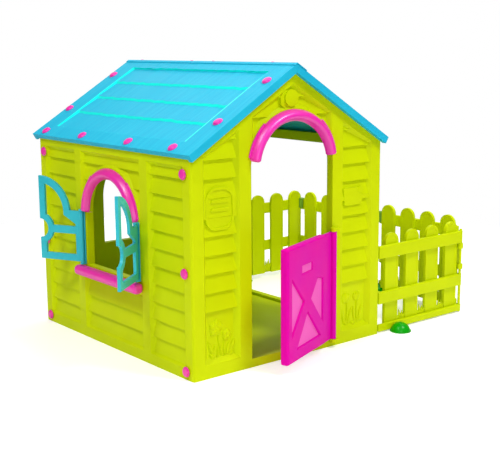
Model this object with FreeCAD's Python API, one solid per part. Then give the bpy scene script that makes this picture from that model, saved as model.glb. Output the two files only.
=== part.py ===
import FreeCAD, Part
import math
import os

from FreeCAD import Rotation, Vector

# A moulded plastic playhouse with a picket-fenced garden, in millimetres.
# Everything is drawn from the front left corner of the house: X runs along the door wall,
# Y runs back along the window wall and Z is up. Each solid is moved by TO_ORIGIN when it is
# written, so that the frame's origin is the centre of the house's footprint, on the ground.

# House
WIDTH = 930.0
LENGTH = 1080.0
WALL = 31.0
CORNER_R = 10.0
ROOF_OVER_X = 19.0
ROOF_OVER_Y = 21.0
ROOF_EAVE_Z = 800.0
ROOF_RIDGE_Z = 1094.0
ROOF_SKIN = 14.0
ROOF_LIP = 28.0
EAVE_LIP_WIDE = 8.0
EAVE_LIP_DROP = 5.0
RIDGE_LEFT = 12.0
RIDGE_RIGHT = 46.0
RIDGE_THICK = 3.5
FLOOR_THICK = 20.0
POST = 42.0
POST_TOP = 770.0
SLACK = 0.1
TO_ORIGIN = Vector(-WIDTH / 2, -LENGTH / 2, 0)

# Cladding: overlapping boards in shallow recesses
RECESS = 9.0
BOARD_PITCH = 66.8
BOARD_FIRST_Z = 239.0
BOARD_PROUD = 6.5
BOARD_THIN = 1.5

# Door wall
DOOR_X = 462.0
DOOR_HALF = 199.0
DOOR_SPRING_Z = 722.0
THRESHOLD_Z = 32.0
PIER_EDGE = 52.0
PIER_WIDE = 158.0
PIER_TOP_LOW = 786.0
PIER_TOP_RISE = 86.0
PIER_FOOT_Z = 50.0
GABLE_HALF = 192.0
GABLE_SHOULDER_Z = 912.0
GABLE_APEX_Z = 1021.0
BOSS_R = 32.0
BOSS_Z = 971.0
BOSS_LEFT = 8.0

# Window in the left wall, and its unglazed twin in the rear wall
WINDOW_Y = 527.0
WINDOW_HALF = 182.0
WINDOW_SPRING_Z = 510.0
WINDOW_SILL_Z = 303.0
BAY_TOP_Z = 757.0
BAY_FOOT_Z = 42.0
BAYS_LEFT = ((50.0, 272.0), (320.0, 741.0), (787.0, 1030.0))

# Wide doorway from the house to the garden, in the right wall
GARDEN_DOOR_Y = (270.0, 810.0)
GARDEN_DOOR_TOP = 757.0
BAYS_RIGHT = ((50.0, 225.0), (855.0, 1030.0))

# Arch trims and window sill
TRIM_WIDE = 43.0
DOOR_TRIM_R = 209.0
DOOR_TRIM_DEEP = 30.0
DOOR_TRIM_END_DEG = 10.0
WINDOW_TRIM_R = 195.0
WINDOW_TRIM_DEEP = 26.0
WINDOW_TRIM_END_DEG = 6.0
SILL_HALF = 225.0
SILL_DEEP = 42.0
SILL_HIGH = 40.0

# Half door, drawn open: its leaf is swung out from the closed place by DOOR_OPEN_DEG
DOOR_OPEN_DEG = 22.0
DOOR_AXIS = (656.0, -14.0)
DOOR_LEAF = (54.0, 391.0)
DOOR_LEAF_THICK = 33.0
DOOR_LEAF_BACK = 30.0
DOOR_FOOT_Z = 36.5
DOOR_HEAD_Z = 459.0
DOOR_BARREL_R = 12.0
DOOR_PIN_R = 6.0
DOOR_PIN_LONG = 30.0
DOOR_PLATE = 9.0
DOOR_CHAMFER = 5.0
DOOR_LUG_LONG = 24.0
LUG_HIGH = 14.0
RUNNING_GAP = 0.05

# Shutters: two leaves, drawn folded out by their own angles
SHUTTER_AXIS_X = -14.0
SHUTTER_AXIS_FROM_MID = 197.0
SHUTTER_OPEN_NEAR_DEG = 128.0
SHUTTER_OPEN_FAR_DEG = 153.0
SHUTTER_FOOT_Z = 315.0
SHUTTER_HEAD_Z = WINDOW_SPRING_Z + 142.0
SHUTTER_SHOULDER_Z = 518.5
SHUTTER_ARC_R = SHUTTER_HEAD_Z - WINDOW_SPRING_Z
SHUTTER_THICK = 12.0
SHUTTER_FACE = -2.0
SHUTTER_FRAME = 27.0
SHUTTER_GAP = 3.0
SHUTTER_BAR_Z = (425.0, 455.0)
SHUTTER_NOTCH_R = 38.0
SHUTTER_BARREL_R = 8.0
SHUTTER_PIN_R = 3.0
HINGE_PLATE = 2.5
HINGE_LUG = 8.0
HINGE_PLATE_HALF = 8.0
HINGE_LUG_HALF = 6.0

# Fence: four like panels of rails and round-topped pickets around the garden
FENCE_X = 1455.0
PICKETS = 4
PICKET_WIDE = 78.0
FRONT_LONG = 500.0
FRONT_FIRST = 87.5
FRONT_PITCH = 124.0
SIDE_START = 30.0
SIDE_LONG = 462.0
SIDE_FIRST = 46.0
SIDE_PITCH = 117.0
SIDE_JOINT = 12.0
REAR_FIRST = 48.0
REAR_PITCH = 122.0
PICKET_TOP = 405.0
RAIL_THICK = 15.0
PICKET_THICK = 14.0
RAILS_Z = ((5.0, 34.0), (120.0, 170.0), (308.0, 360.0))
SIDE_LIFT = 18.0
ROD_R = 6.0
KNUCKLE_R = 12.0
HOUSE_GAP = 2.0
CLIP_WALL = 5.0
CLIP_GRIP = 26.0
CLIP_ARM = (-4.0, 8.0)
CLIP_Z = ((192.0, 214.0), (282.0, 306.0))
FOOT_R = 41.0
FOOT_HIGH = 37.0
FOOT_LIFT = 0.5
SKIRT_OUT = 2.0
SKIRT_HIGH = 4.0
CATCH_DEEP = 20.0

# Bolt caps
CAP_R = 19.0
CAP_HIGH = 8.0
CAP_ROUND = 4.0
SHANK_R = 5.0
WALL_SHANK = 20.0
ROOF_SHANK = 9.0
WALL_CAP_FROM_EDGE = 43.0
WALL_CAP_Z = (31.0, 384.0, 730.0)
WALL_CAP_Z_REAR = (31.0, 358.0, 730.0)
ROOF_CAP_RUN_EAVE = 36.0
ROOF_CAP_RUNS = (196.0, 454.0)
ROOF_CAP_Y_ENDS = (33.0, 1068.0)
ROOF_CAP_Y_EAVE = (111.0, 396.0, 730.0, 1025.0)
RIDGE_CAP_Y = (132.0, 495.0, 641.0, 1009.0)
RIDGE_CAP_FROM_TOP = 21.0


def prism_xz(points, y_from, y_to):
    """A closed outline of (x, z) points, pulled along Y."""
    wire = Part.makePolygon([Vector(x, y_from, z) for x, z in points + points[:1]])
    return Part.Face(wire).extrude(Vector(0, y_to - y_from, 0))


def prism_yz(points, x_from, x_to):
    """A closed outline of (y, z) points, pulled along X."""
    wire = Part.makePolygon([Vector(x_from, y, z) for y, z in points + points[:1]])
    return Part.Face(wire).extrude(Vector(x_to - x_from, 0, 0))


def prism_xy(points, z_from, z_to):
    """A closed outline of (x, y) points, pulled up along Z."""
    wire = Part.makePolygon([Vector(x, y, z_from) for x, y in points + points[:1]])
    return Part.Face(wire).extrude(Vector(0, 0, z_to - z_from))


def block(low, high):
    """A box between two opposite corners."""
    size = [b - a for a, b in zip(low, high)]
    return Part.makeBox(*size, Vector(*low))


def rod(radius, base, direction, length):
    """A round bar from a base point."""
    return Part.makeCylinder(radius, length, Vector(*base), Vector(*direction))


def join(first, *others):
    """One solid from several that overlap or share a face."""
    return first.fuse(list(others)).removeSplitter()


def mirror_x(shape):
    """The same shape on the other side of the house's middle plane."""
    return shape.mirror(Vector(WIDTH / 2, 0, 0), Vector(1, 0, 0))


def turned(shape, axis_xy, degrees):
    """A copy turned about an upright axis."""
    copy = shape.copy()
    copy.rotate(Vector(axis_xy[0], axis_xy[1], 0), Vector(0, 0, 1), degrees)
    return copy


# Roof line

ROOF_RUN_X = WIDTH / 2 + ROOF_OVER_X
ROOF_SLOPE = math.atan2(ROOF_RIDGE_Z - ROOF_EAVE_Z, ROOF_RUN_X)
ROOF_DROP = ROOF_SKIN / math.cos(ROOF_SLOPE)


def roof_z(x):
    """Height of the left roof panel's outer face above a place across the house."""
    return ROOF_EAVE_Z + (x + ROOF_OVER_X) * math.tan(ROOF_SLOPE)


def wall_top(x):
    """Height of the gable wall's sloping edge, just under the roof's skin."""
    return roof_z(min(x, WIDTH - x)) - ROOF_DROP - SLACK


# Cladding

def sawtooth(top_z):
    """Outline (depth, z) of boards that lap over one another, depth measured out of the recess floor."""
    points = [(-1.0, BOARD_FIRST_Z)]
    z = BOARD_FIRST_Z
    while z < top_z:
        points += [(BOARD_PROUD, z), (BOARD_THIN, z + BOARD_PITCH)]
        z += BOARD_PITCH
    return points + [(-1.0, z)]


def lower_sawtooth(bottom_z, top_z):
    """The same boards, carried down below the first board line to a recess's foot."""
    steps = math.ceil((BOARD_FIRST_Z - bottom_z) / BOARD_PITCH)
    shift = -steps * BOARD_PITCH
    return [(depth, z + shift) for depth, z in sawtooth(top_z - shift)]


def front_boards(recess, top_z):
    """Boards on the door wall, trimmed to a recess."""
    floor_y = RECESS
    outline = [(floor_y - depth, z) for depth, z in sawtooth(top_z)]
    return prism_yz(outline, 0, WIDTH).common(recess)


def side_boards(recess, top_z):
    """Boards on the window wall, trimmed to a recess."""
    outline = [(RECESS - depth, z) for depth, z in lower_sawtooth(BAY_FOOT_Z, top_z)]
    return prism_xz(outline, 0, LENGTH).common(recess)


# Walls

def house_prism():
    """The house's rounded footprint, pulled up past the roof."""
    body = block((0, 0, 0), (WIDTH, LENGTH, ROOF_RIDGE_Z))
    upright = [e for e in body.Edges if abs(e.Vertexes[0].Z - e.Vertexes[1].Z) > WALL]
    return body.makeFillet(CORNER_R, upright)


def gable_wall():
    """A plain door-side wall with mitred ends and a post behind each end for the side walls' bolts."""
    outline = [(0, 0), (WIDTH, 0), (WIDTH, wall_top(0)), (WIDTH / 2, wall_top(WIDTH / 2)), (0, wall_top(0))]
    mitre = [(0, 0), (WIDTH, 0), (WIDTH - WALL, WALL), (WALL, WALL)]
    wall = prism_xz(outline, 0, WALL).common(prism_xy(mitre, 0, ROOF_RIDGE_Z))
    post = block((WALL + SLACK, WALL - 1, FLOOR_THICK + SLACK), (WALL + POST, WALL + POST, POST_TOP))
    return join(wall.common(house_prism()), post, mirror_x(post))


def pier_recess():
    """Left pier's recess in the door wall, with its sloping top."""
    right = PIER_EDGE + PIER_WIDE
    outline = [(PIER_EDGE, PIER_FOOT_Z), (right, PIER_FOOT_Z),
               (right, PIER_TOP_LOW + PIER_TOP_RISE), (PIER_EDGE, PIER_TOP_LOW)]
    return prism_xz(outline, -1, RECESS)


def gable_recess():
    """Recess above the door's arch, with a pointed top."""
    left, right = DOOR_X - GABLE_HALF, DOOR_X + GABLE_HALF
    outline = [(left, DOOR_SPRING_Z), (right, DOOR_SPRING_Z), (right, GABLE_SHOULDER_Z),
               (DOOR_X, GABLE_APEX_Z), (left, GABLE_SHOULDER_Z)]
    around_arch = rod(DOOR_TRIM_R + 3, (DOOR_X, -2, DOOR_SPRING_Z), (0, 1, 0), RECESS + 4)
    return prism_xz(outline, -1, RECESS).cut(around_arch)


def doorway():
    """Arched way through the door wall, above the threshold."""
    left, right = DOOR_X - DOOR_HALF, DOOR_X + DOOR_HALF
    straight = block((left, -1, THRESHOLD_Z), (right, WALL + 1, DOOR_SPRING_Z))
    return straight.fuse(rod(DOOR_HALF, (DOOR_X, -1, DOOR_SPRING_Z), (0, 1, 0), WALL + 2))


def front_wall():
    """Door wall: doorway, clad piers and gable, and a round boss over the arch."""
    recesses = [pier_recess(), mirror_x(pier_recess()), gable_recess()]
    wall = gable_wall().cut(recesses + [doorway()])
    boards = [front_boards(recess, GABLE_APEX_Z) for recess in recesses]
    boss = rod(BOSS_R, (DOOR_X - BOSS_LEFT, RECESS + 1, BOSS_Z), (0, -1, 0), RECESS + 4)
    return join(wall, *boards, boss)


def rear_wall():
    """Rear wall: the door wall's outline with an arched window in place of the doorway."""
    wall = gable_wall()
    wall.rotate(Vector(WIDTH / 2, LENGTH / 2, 0), Vector(0, 0, 1), 180)
    across = (DOOR_X - WINDOW_HALF, DOOR_X + WINDOW_HALF)
    opening = block((across[0], LENGTH - WALL - 1, WINDOW_SILL_Z), (across[1], LENGTH + 1, WINDOW_SPRING_Z))
    arch = rod(WINDOW_HALF, (DOOR_X, LENGTH - WALL - 1, WINDOW_SPRING_Z), (0, 1, 0), WALL + 2)
    return wall.cut([opening, arch])


def side_wall(bays):
    """A wall along the house's length with mitred ends and clad bays, before its opening is cut."""
    wall = block((0, 0, 0), (WALL, LENGTH, wall_top(0)))
    mitre = [(0, 0), (WALL, WALL), (WALL, LENGTH - WALL), (0, LENGTH)]
    wall = wall.common(prism_xy(mitre, 0, ROOF_RIDGE_Z)).common(house_prism())
    recesses = [block((-1, start, BAY_FOOT_Z), (RECESS, end, BAY_TOP_Z)) for start, end in bays]
    boards = [side_boards(recess, BAY_TOP_Z) for recess in recesses]
    return join(wall.cut(recesses), *boards)


def left_wall():
    """Window wall: three clad bays, the middle one around the arched window."""
    low, high = WINDOW_Y - WINDOW_HALF, WINDOW_Y + WINDOW_HALF
    opening = block((-1, low, WINDOW_SILL_Z), (WALL + 1, high, WINDOW_SPRING_Z))
    arch = rod(WINDOW_HALF, (-1, WINDOW_Y, WINDOW_SPRING_Z), (1, 0, 0), WALL + 2)
    seat = rod(WINDOW_TRIM_R + 4, (0, WINDOW_Y, WINDOW_SPRING_Z), (1, 0, 0), WALL)
    seat = seat.common(block((0, 0, WINDOW_SPRING_Z), (WALL, LENGTH, BAY_TOP_Z)))
    frame = block((0, WINDOW_Y - SILL_HALF, WINDOW_SILL_Z - SILL_HIGH - 4),
                  (WALL, WINDOW_Y + SILL_HALF, WINDOW_SPRING_Z))
    return join(side_wall(BAYS_LEFT), seat, frame).cut([opening, arch])


def right_wall():
    """Garden wall: two clad bays beside the wide doorway."""
    opening = block((-1, GARDEN_DOOR_Y[0], THRESHOLD_Z), (WALL + 1, GARDEN_DOOR_Y[1], GARDEN_DOOR_TOP))
    return mirror_x(side_wall(BAYS_RIGHT).cut(opening))


def floor_panel():
    """Floor between the walls, on the ground."""
    inside = WALL + SLACK
    return block((inside, inside, 0), (WIDTH - inside, LENGTH - inside, FLOOR_THICK))


# Roof

def roof_slab(depth, y_from, y_to, run_from=0.0, run_to=None):
    """A slab under the left roof panel's outer face, between two runs up the slope."""
    run_to = run_to or ROOF_RUN_X / math.cos(ROOF_SLOPE)
    along = Vector(math.cos(ROOF_SLOPE), 0, math.sin(ROOF_SLOPE))
    inward = Vector(math.sin(ROOF_SLOPE), 0, -math.cos(ROOF_SLOPE)) * depth
    eave = Vector(-ROOF_OVER_X, 0, ROOF_EAVE_Z)
    low, high = eave + along * run_from, eave + along * run_to
    corners = [low, high, high + inward, low + inward]
    slab = prism_xz([(p.x, p.z) for p in corners], y_from, y_to)
    return slab.common(block((-100, -100, 0), (WIDTH / 2 - SLACK, LENGTH + 100, ROOF_RIDGE_Z)))


def roof_panel():
    """Left roof panel: a skin with deep lips over both gables and a shallow one along the eave."""
    low, high = -ROOF_OVER_Y, LENGTH + ROOF_OVER_Y
    lip_wide = ROOF_OVER_Y - 1
    skin = roof_slab(ROOF_SKIN, low, high)
    front = roof_slab(ROOF_LIP, low, low + lip_wide)
    rear = roof_slab(ROOF_LIP, high - lip_wide, high)
    eave = roof_slab(ROOF_SKIN + EAVE_LIP_DROP, low, high, 0, EAVE_LIP_WIDE)
    return join(skin, front, rear, eave)


def ridge_cap():
    """Strip over the seam between the two roof panels, wider on the right where its bolts are."""
    mid, top, fall = WIDTH / 2, ROOF_RIDGE_Z + SLACK, math.tan(ROOF_SLOPE)
    left_foot = (mid - RIDGE_LEFT, top - RIDGE_LEFT * fall)
    right_foot = (mid + RIDGE_RIGHT, top - RIDGE_RIGHT * fall)
    under = [left_foot, (mid, top), right_foot]
    over = [(x, z + RIDGE_THICK) for x, z in reversed(under)]
    return prism_xz(under + over, -ROOF_OVER_Y, LENGTH + ROOF_OVER_Y)


# Trims

def arch_trim(radius, deep, end_deg):
    """A half-round arch standing out of a wall whose face is the plane Y = 0, about its own centre."""
    inner = radius - TRIM_WIDE
    ring = rod(radius, (0, 0, 0), (0, -1, 0), deep).cut(rod(inner, (0, 1, 0), (0, -1, 0), deep + 2))
    ring = ring.common(block((-radius, -deep, 0), (radius, 0, radius)))
    rounds = [e for e in ring.Edges if e.Curve.TypeId == "Part::GeomCircle"]
    front_edges = [e for e in rounds if e.BoundBox.YMax < -deep + 1]
    ring = ring.makeFillet(min(deep, TRIM_WIDE / 2) * 0.9, front_edges)
    rise = radius * math.sin(math.radians(end_deg))
    return ring.common(block((-radius, -deep, rise), (radius, 0, radius)))


def door_arch_trim():
    """Trim over the doorway."""
    trim = arch_trim(DOOR_TRIM_R, DOOR_TRIM_DEEP, DOOR_TRIM_END_DEG)
    trim.translate(Vector(DOOR_X, 0, DOOR_SPRING_Z))
    return trim


def window_arch_trim():
    """Trim over the window; shallow, so that the closed shutters pass in front of it."""
    trim = arch_trim(WINDOW_TRIM_R, WINDOW_TRIM_DEEP, WINDOW_TRIM_END_DEG)
    trim.rotate(Vector(0, 0, 0), Vector(0, 0, 1), -90)
    trim.translate(Vector(0, WINDOW_Y, WINDOW_SPRING_Z))
    return trim


def window_sill():
    """Rounded rail under the window."""
    low, high = WINDOW_SILL_Z - SILL_HIGH, WINDOW_SILL_Z
    sill = block((-SILL_DEEP, WINDOW_Y - SILL_HALF, low), (0, WINDOW_Y + SILL_HALF, high))
    outer = [e for e in sill.Edges if e.BoundBox.XMax < -SILL_DEEP + 1]
    return sill.makeFillet(SILL_HIGH / 2 - 3, outer)


# Half door

def door_leaf():
    """The half door in its open place: a thick leaf, a thinner hinge plate and the barrel."""
    axis_x, axis_y = DOOR_AXIS
    near, far = DOOR_LEAF
    back = axis_y + DOOR_LEAF_BACK
    leaf = block((axis_x - far, back - DOOR_LEAF_THICK, DOOR_FOOT_Z), (axis_x - near, back, DOOR_HEAD_Z))
    face_edges = [e for e in leaf.Edges if e.BoundBox.YMax < back - DOOR_LEAF_THICK + 1]
    leaf = leaf.makeChamfer(DOOR_CHAMFER, face_edges)
    plate_y = axis_y - 2
    plate = block((axis_x - near - 1, plate_y, DOOR_FOOT_Z), (axis_x, plate_y + DOOR_PLATE, DOOR_HEAD_Z))
    height = DOOR_HEAD_Z - DOOR_FOOT_Z
    barrel = rod(DOOR_BARREL_R, (axis_x, axis_y, DOOR_FOOT_Z), (0, 0, 1), height)
    bore = rod(DOOR_PIN_R + RUNNING_GAP, (axis_x, axis_y, DOOR_FOOT_Z - 1), (0, 0, 1), height + 2)
    door = join(leaf, plate, barrel).cut(bore)
    return turned(door, DOOR_AXIS, DOOR_OPEN_DEG)


def door_lug(z_from, pin_from):
    """A lug on the door wall with one of the pins that the door turns on."""
    axis_x, axis_y = DOOR_AXIS
    lug = rod(DOOR_BARREL_R, (axis_x, axis_y, z_from), (0, 0, 1), LUG_HIGH)
    root = block((axis_x + 3, axis_y - DOOR_BARREL_R + 2, z_from), (axis_x + DOOR_LUG_LONG, 0, z_from + LUG_HIGH))
    pin = rod(DOOR_PIN_R, (axis_x, axis_y, pin_from), (0, 0, 1), DOOR_PIN_LONG)
    return join(lug, root, pin)


# Shutters

def shutter_half(side):
    """A closed shutter leaf; side is +1 when its hinge is at the near jamb, -1 at the far jamb."""
    axis_y = WINDOW_Y - side * SHUTTER_AXIS_FROM_MID
    edge_y = WINDOW_Y - side * SHUTTER_GAP / 2
    face_x = SHUTTER_AXIS_X - SHUTTER_FACE
    slab = block((face_x - SHUTTER_THICK, min(axis_y, edge_y), SHUTTER_FOOT_Z),
                 (face_x, max(axis_y, edge_y), SHUTTER_HEAD_Z))
    arc_z = SHUTTER_HEAD_Z - SHUTTER_ARC_R
    arch = rod(SHUTTER_ARC_R, (face_x - SHUTTER_THICK, WINDOW_Y, arc_z), (1, 0, 0), SHUTTER_THICK)
    below = block((face_x - SHUTTER_THICK, 0, 0), (face_x, LENGTH, SHUTTER_SHOULDER_Z))
    outline = slab.common(arch.fuse(below))
    panes = shutter_panes(side, axis_y, edge_y, face_x)
    bar_mid = (SHUTTER_BAR_Z[0] + SHUTTER_BAR_Z[1]) / 2
    notch = rod(SHUTTER_NOTCH_R, (face_x - SHUTTER_THICK - 1, edge_y, bar_mid), (1, 0, 0), SHUTTER_THICK + 2)
    height = SHUTTER_SHOULDER_Z - SHUTTER_FOOT_Z
    barrel = rod(SHUTTER_BARREL_R, (SHUTTER_AXIS_X, axis_y, SHUTTER_FOOT_Z), (0, 0, 1), height)
    below_foot = (SHUTTER_AXIS_X, axis_y, SHUTTER_FOOT_Z - 1)
    bore = rod(SHUTTER_PIN_R + RUNNING_GAP, below_foot, (0, 0, 1), height + 2)
    return join(outline.cut(panes + [notch]), barrel).cut(bore)


def shutter_panes(side, axis_y, edge_y, face_x):
    """The two openings in a leaf, above and below its bar, kept clear of the round notch."""
    left, right = sorted((axis_y + side * SHUTTER_FRAME, edge_y - side * SHUTTER_FRAME))
    x_from, x_to = face_x - SHUTTER_THICK - 1, face_x + 1
    bar_mid = (SHUTTER_BAR_Z[0] + SHUTTER_BAR_Z[1]) / 2
    ring_r = SHUTTER_NOTCH_R + SHUTTER_FRAME - 3
    ring = rod(ring_r, (x_from - 1, edge_y, bar_mid), (1, 0, 0), SHUTTER_THICK + 4)
    lower = block((x_from, left, SHUTTER_FOOT_Z + SHUTTER_FRAME), (x_to, right, SHUTTER_BAR_Z[0]))
    upper = block((x_from, left, SHUTTER_BAR_Z[1]), (x_to, right, SHUTTER_HEAD_Z))
    arc_z = SHUTTER_HEAD_Z - SHUTTER_ARC_R
    arch = rod(SHUTTER_ARC_R - SHUTTER_FRAME, (x_from, WINDOW_Y, arc_z), (1, 0, 0), x_to - x_from)
    return [lower.cut(ring), upper.common(arch).cut(ring)]


def shutter(side, open_deg):
    """A shutter leaf in its open place."""
    axis_y = WINDOW_Y - side * SHUTTER_AXIS_FROM_MID
    return turned(shutter_half(side), (SHUTTER_AXIS_X, axis_y), side * open_deg)


def shutter_hinge(side):
    """Plate on the window wall with a lug at each end and the pin between them."""
    axis_y = WINDOW_Y - side * SHUTTER_AXIS_FROM_MID
    low = SHUTTER_FOOT_Z - 1 - HINGE_LUG
    high = SHUTTER_SHOULDER_Z + 1
    plate = block((-HINGE_PLATE, axis_y - HINGE_PLATE_HALF, low), (0, axis_y + HINGE_PLATE_HALF, high + HINGE_LUG))
    pieces = [rod(SHUTTER_PIN_R, (SHUTTER_AXIS_X, axis_y, low), (0, 0, 1), high + HINGE_LUG - low)]
    for z in (low, high):
        pieces.append(rod(SHUTTER_BARREL_R, (SHUTTER_AXIS_X, axis_y, z), (0, 0, 1), HINGE_LUG))
        near, far = axis_y - HINGE_LUG_HALF, axis_y + HINGE_LUG_HALF
        pieces.append(block((SHUTTER_AXIS_X, near, z), (0, far, z + HINGE_LUG)))
    return join(plate, *pieces)


# Fence

SIDE_SECOND = SIDE_START + SIDE_LONG + SIDE_JOINT
SIDE_SECOND_LONG = LENGTH - RAIL_THICK - PICKET_THICK - 2 - SIDE_SECOND
REAR_LONG = FENCE_X - WIDTH - HOUSE_GAP
ROD_PLACE = (FENCE_X - KNUCKLE_R, KNUCKLE_R)


def fence_panel(length, first, pitch):
    """A panel along +X from the origin, rails on its -Y face: three rails and round-topped pickets."""
    pieces = [block((0, 0, low), (length, RAIL_THICK + 1, high)) for low, high in RAILS_Z]
    radius = PICKET_WIDE / 2
    for index in range(PICKETS):
        x = first + index * pitch
        foot = (x - radius, RAIL_THICK, RAILS_Z[0][0])
        pieces.append(block(foot, (x + radius, RAIL_THICK + PICKET_THICK, PICKET_TOP - radius)))
        pieces.append(rod(radius, (x, RAIL_THICK, PICKET_TOP - radius), (0, 1, 0), PICKET_THICK))
    return join(*pieces)


def fence_front():
    """Front panel: from the house to the corner rod, which its rails' knuckles turn on."""
    panel = fence_panel(FRONT_LONG, FRONT_FIRST, FRONT_PITCH)
    panel.translate(Vector(WIDTH + HOUSE_GAP, 0, 0))
    rod_x, rod_y = ROD_PLACE
    pieces = []
    for low, high in RAILS_Z:
        pieces.append(rod(KNUCKLE_R, (rod_x, rod_y, low), (0, 0, 1), high - low))
        pieces.append(block((WIDTH + HOUSE_GAP + FRONT_LONG - 1, 0, low), (rod_x, RAIL_THICK, high)))
    bore = rod(ROD_R + RUNNING_GAP, (rod_x, rod_y, 0), (0, 0, 1), PICKET_TOP)
    return join(panel, *pieces).cut(bore)


def fence_corner_rod():
    """Upright rod that the front panel turns on."""
    return rod(ROD_R, (*ROD_PLACE, FOOT_LIFT), (0, 0, 1), RAILS_Z[-1][1] + 8)


def side_panel(start_y, length, first, pitch):
    """A panel along the garden's side, rails outside, lifted a little on its foot."""
    panel = fence_panel(length, first, pitch)
    panel.rotate(Vector(0, 0, 0), Vector(0, 0, 1), 90)
    panel.translate(Vector(FENCE_X, start_y, SIDE_LIFT))
    return panel


def fence_side_front():
    """Side panel nearest the front."""
    return side_panel(SIDE_START, SIDE_LONG, SIDE_FIRST, SIDE_PITCH)


def fence_side_rear():
    """Side panel nearest the rear."""
    margin = (SIDE_SECOND_LONG - (PICKETS - 1) * FRONT_PITCH) / 2
    return side_panel(SIDE_SECOND, SIDE_SECOND_LONG, margin, FRONT_PITCH)


def fence_rear():
    """Rear panel, rails outside, from the side fence back to the house."""
    panel = fence_panel(REAR_LONG, REAR_FIRST, REAR_PITCH)
    panel.rotate(Vector(0, 0, 0), Vector(0, 0, 1), 180)
    panel.translate(Vector(FENCE_X, LENGTH, SIDE_LIFT))
    return panel


def corner_clip():
    """Clip between the corner rod and the side panel, in the gaps between the rails' knuckles."""
    rod_x, rod_y = ROD_PLACE
    left, right = rod_x + CLIP_ARM[0], rod_x + CLIP_ARM[1]
    pieces = []
    for low, high in CLIP_Z:
        eye = rod(KNUCKLE_R, (rod_x, rod_y, low), (0, 0, 1), high - low)
        arm = block((left, rod_y + 2, low), (right, SIDE_START + CLIP_GRIP, high))
        pieces.append(eye.fuse(arm))
    low, high = CLIP_Z[0][0], CLIP_Z[-1][1]
    pieces.append(block((left, rod_y + KNUCKLE_R + 2, low), (right, SIDE_START - SLACK, high)))
    hole = rod(ROD_R, (rod_x, rod_y, 0), (0, 0, 1), PICKET_TOP)
    return join(*pieces).cut([hole, fence_side_front()])


def joining_clip():
    """Clip over the meeting ends of the two side panels, gripping their top rails from above."""
    middle = SIDE_SECOND - SIDE_JOINT / 2
    low, high = RAILS_Z[-1][0] + SIDE_LIFT + 8, RAILS_Z[-1][1] + SIDE_LIFT + CLIP_WALL
    clip = block((FENCE_X - RAIL_THICK - CLIP_WALL, middle - CLIP_GRIP, low),
                 (FENCE_X + CLIP_WALL, middle + CLIP_GRIP, high))
    return clip.cut([fence_side_front(), fence_side_rear()])


def rear_corner_clip():
    """Cap over the rear corner, tying the last side panel's top rail to the rear panel's."""
    low, high = RAILS_Z[-1][0] + SIDE_LIFT + 8, RAILS_Z[-1][1] + SIDE_LIFT + CLIP_WALL
    inner = LENGTH - RAIL_THICK - PICKET_THICK - CLIP_GRIP
    clip = block((FENCE_X - RAIL_THICK - CLIP_WALL, inner, low),
                 (FENCE_X + CLIP_WALL, LENGTH + CLIP_WALL, high))
    return clip.cut([fence_rear(), fence_side_rear()])


def wall_catch(y_from, y_to):
    """Stop on the garden wall that a fence panel's middle rail closes against."""
    low, high = RAILS_Z[1]
    return block((WIDTH, y_from, low), (WIDTH + CATCH_DEEP, y_to, high))


FOOT_FRONT = (WIDTH + 94.0, -30.0)
FOOT_SIDE = (FENCE_X - RAIL_THICK, SIDE_SECOND - SIDE_JOINT / 2)
FOOT_REAR = (WIDTH + 150.0, LENGTH - RAIL_THICK)


def fence_foot(x, y, lift):
    """Domed foot with a thin skirt, flat at the ground."""
    ball = Part.makeSphere(FOOT_R, Vector(x, y, FOOT_HIGH - FOOT_R + lift))
    skirt = rod(FOOT_R + SKIRT_OUT, (x, y, lift), (0, 0, 1), SKIRT_HIGH)
    dome = ball.common(block((x - FOOT_R, y - FOOT_R, lift), (x + FOOT_R, y + FOOT_R, FOOT_HIGH + lift)))
    return join(dome, skirt)


# Bolts

def bolt(shank):
    """A round cap over the plane Z = 0 with its shank below it."""
    cap = rod(CAP_R, (0, 0, 0), (0, 0, 1), CAP_HIGH)
    rim = [e for e in cap.Edges if e.BoundBox.ZMin > CAP_HIGH - 1 and e.Curve.TypeId == "Part::GeomCircle"]
    return join(cap.makeFillet(CAP_ROUND, rim), rod(SHANK_R, (0, 0, 1), (0, 0, -1), shank + 1))


def placed(shape, point, normal):
    """The shape stood on a face at a point, its +Z along the face's normal."""
    copy = shape.copy()
    turn = Rotation(Vector(0, 0, 1), Vector(*normal))
    copy.Placement = FreeCAD.Placement(Vector(*point), turn)
    return copy


def left_wall_bolts():
    """Six bolts of the window wall: the front column, then the rear one, each from the ground up."""
    places = [(WALL_CAP_FROM_EDGE, z) for z in WALL_CAP_Z]
    places += [(LENGTH - WALL_CAP_FROM_EDGE, z) for z in WALL_CAP_Z_REAR]
    return [placed(bolt(WALL_SHANK), (0, y, z), (-1, 0, 0)) for y, z in places]


def roof_bolts():
    """Bolts of the left roof panel: along the eave, then up both gable edges."""
    places = [(ROOF_CAP_RUN_EAVE, y) for y in ROOF_CAP_Y_EAVE]
    places += [(run, y) for y in ROOF_CAP_Y_ENDS for run in ROOF_CAP_RUNS]
    normal = (-math.sin(ROOF_SLOPE), 0, math.cos(ROOF_SLOPE))
    bolts = []
    for run, y in places:
        x = -ROOF_OVER_X + run * math.cos(ROOF_SLOPE)
        bolts.append(placed(bolt(ROOF_SHANK), (x, y, roof_z(x)), normal))
    return bolts


def ridge_bolts():
    """Bolts through the ridge strip into the right roof panel, from the front."""
    normal = (math.sin(ROOF_SLOPE), 0, math.cos(ROOF_SLOPE))
    across = RIDGE_CAP_FROM_TOP * math.cos(ROOF_SLOPE)
    top = ROOF_RIDGE_Z + SLACK + RIDGE_THICK - across * math.tan(ROOF_SLOPE)
    return [placed(bolt(ROOF_SHANK), (WIDTH / 2 + across, y, top), normal) for y in RIDGE_CAP_Y]


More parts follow.
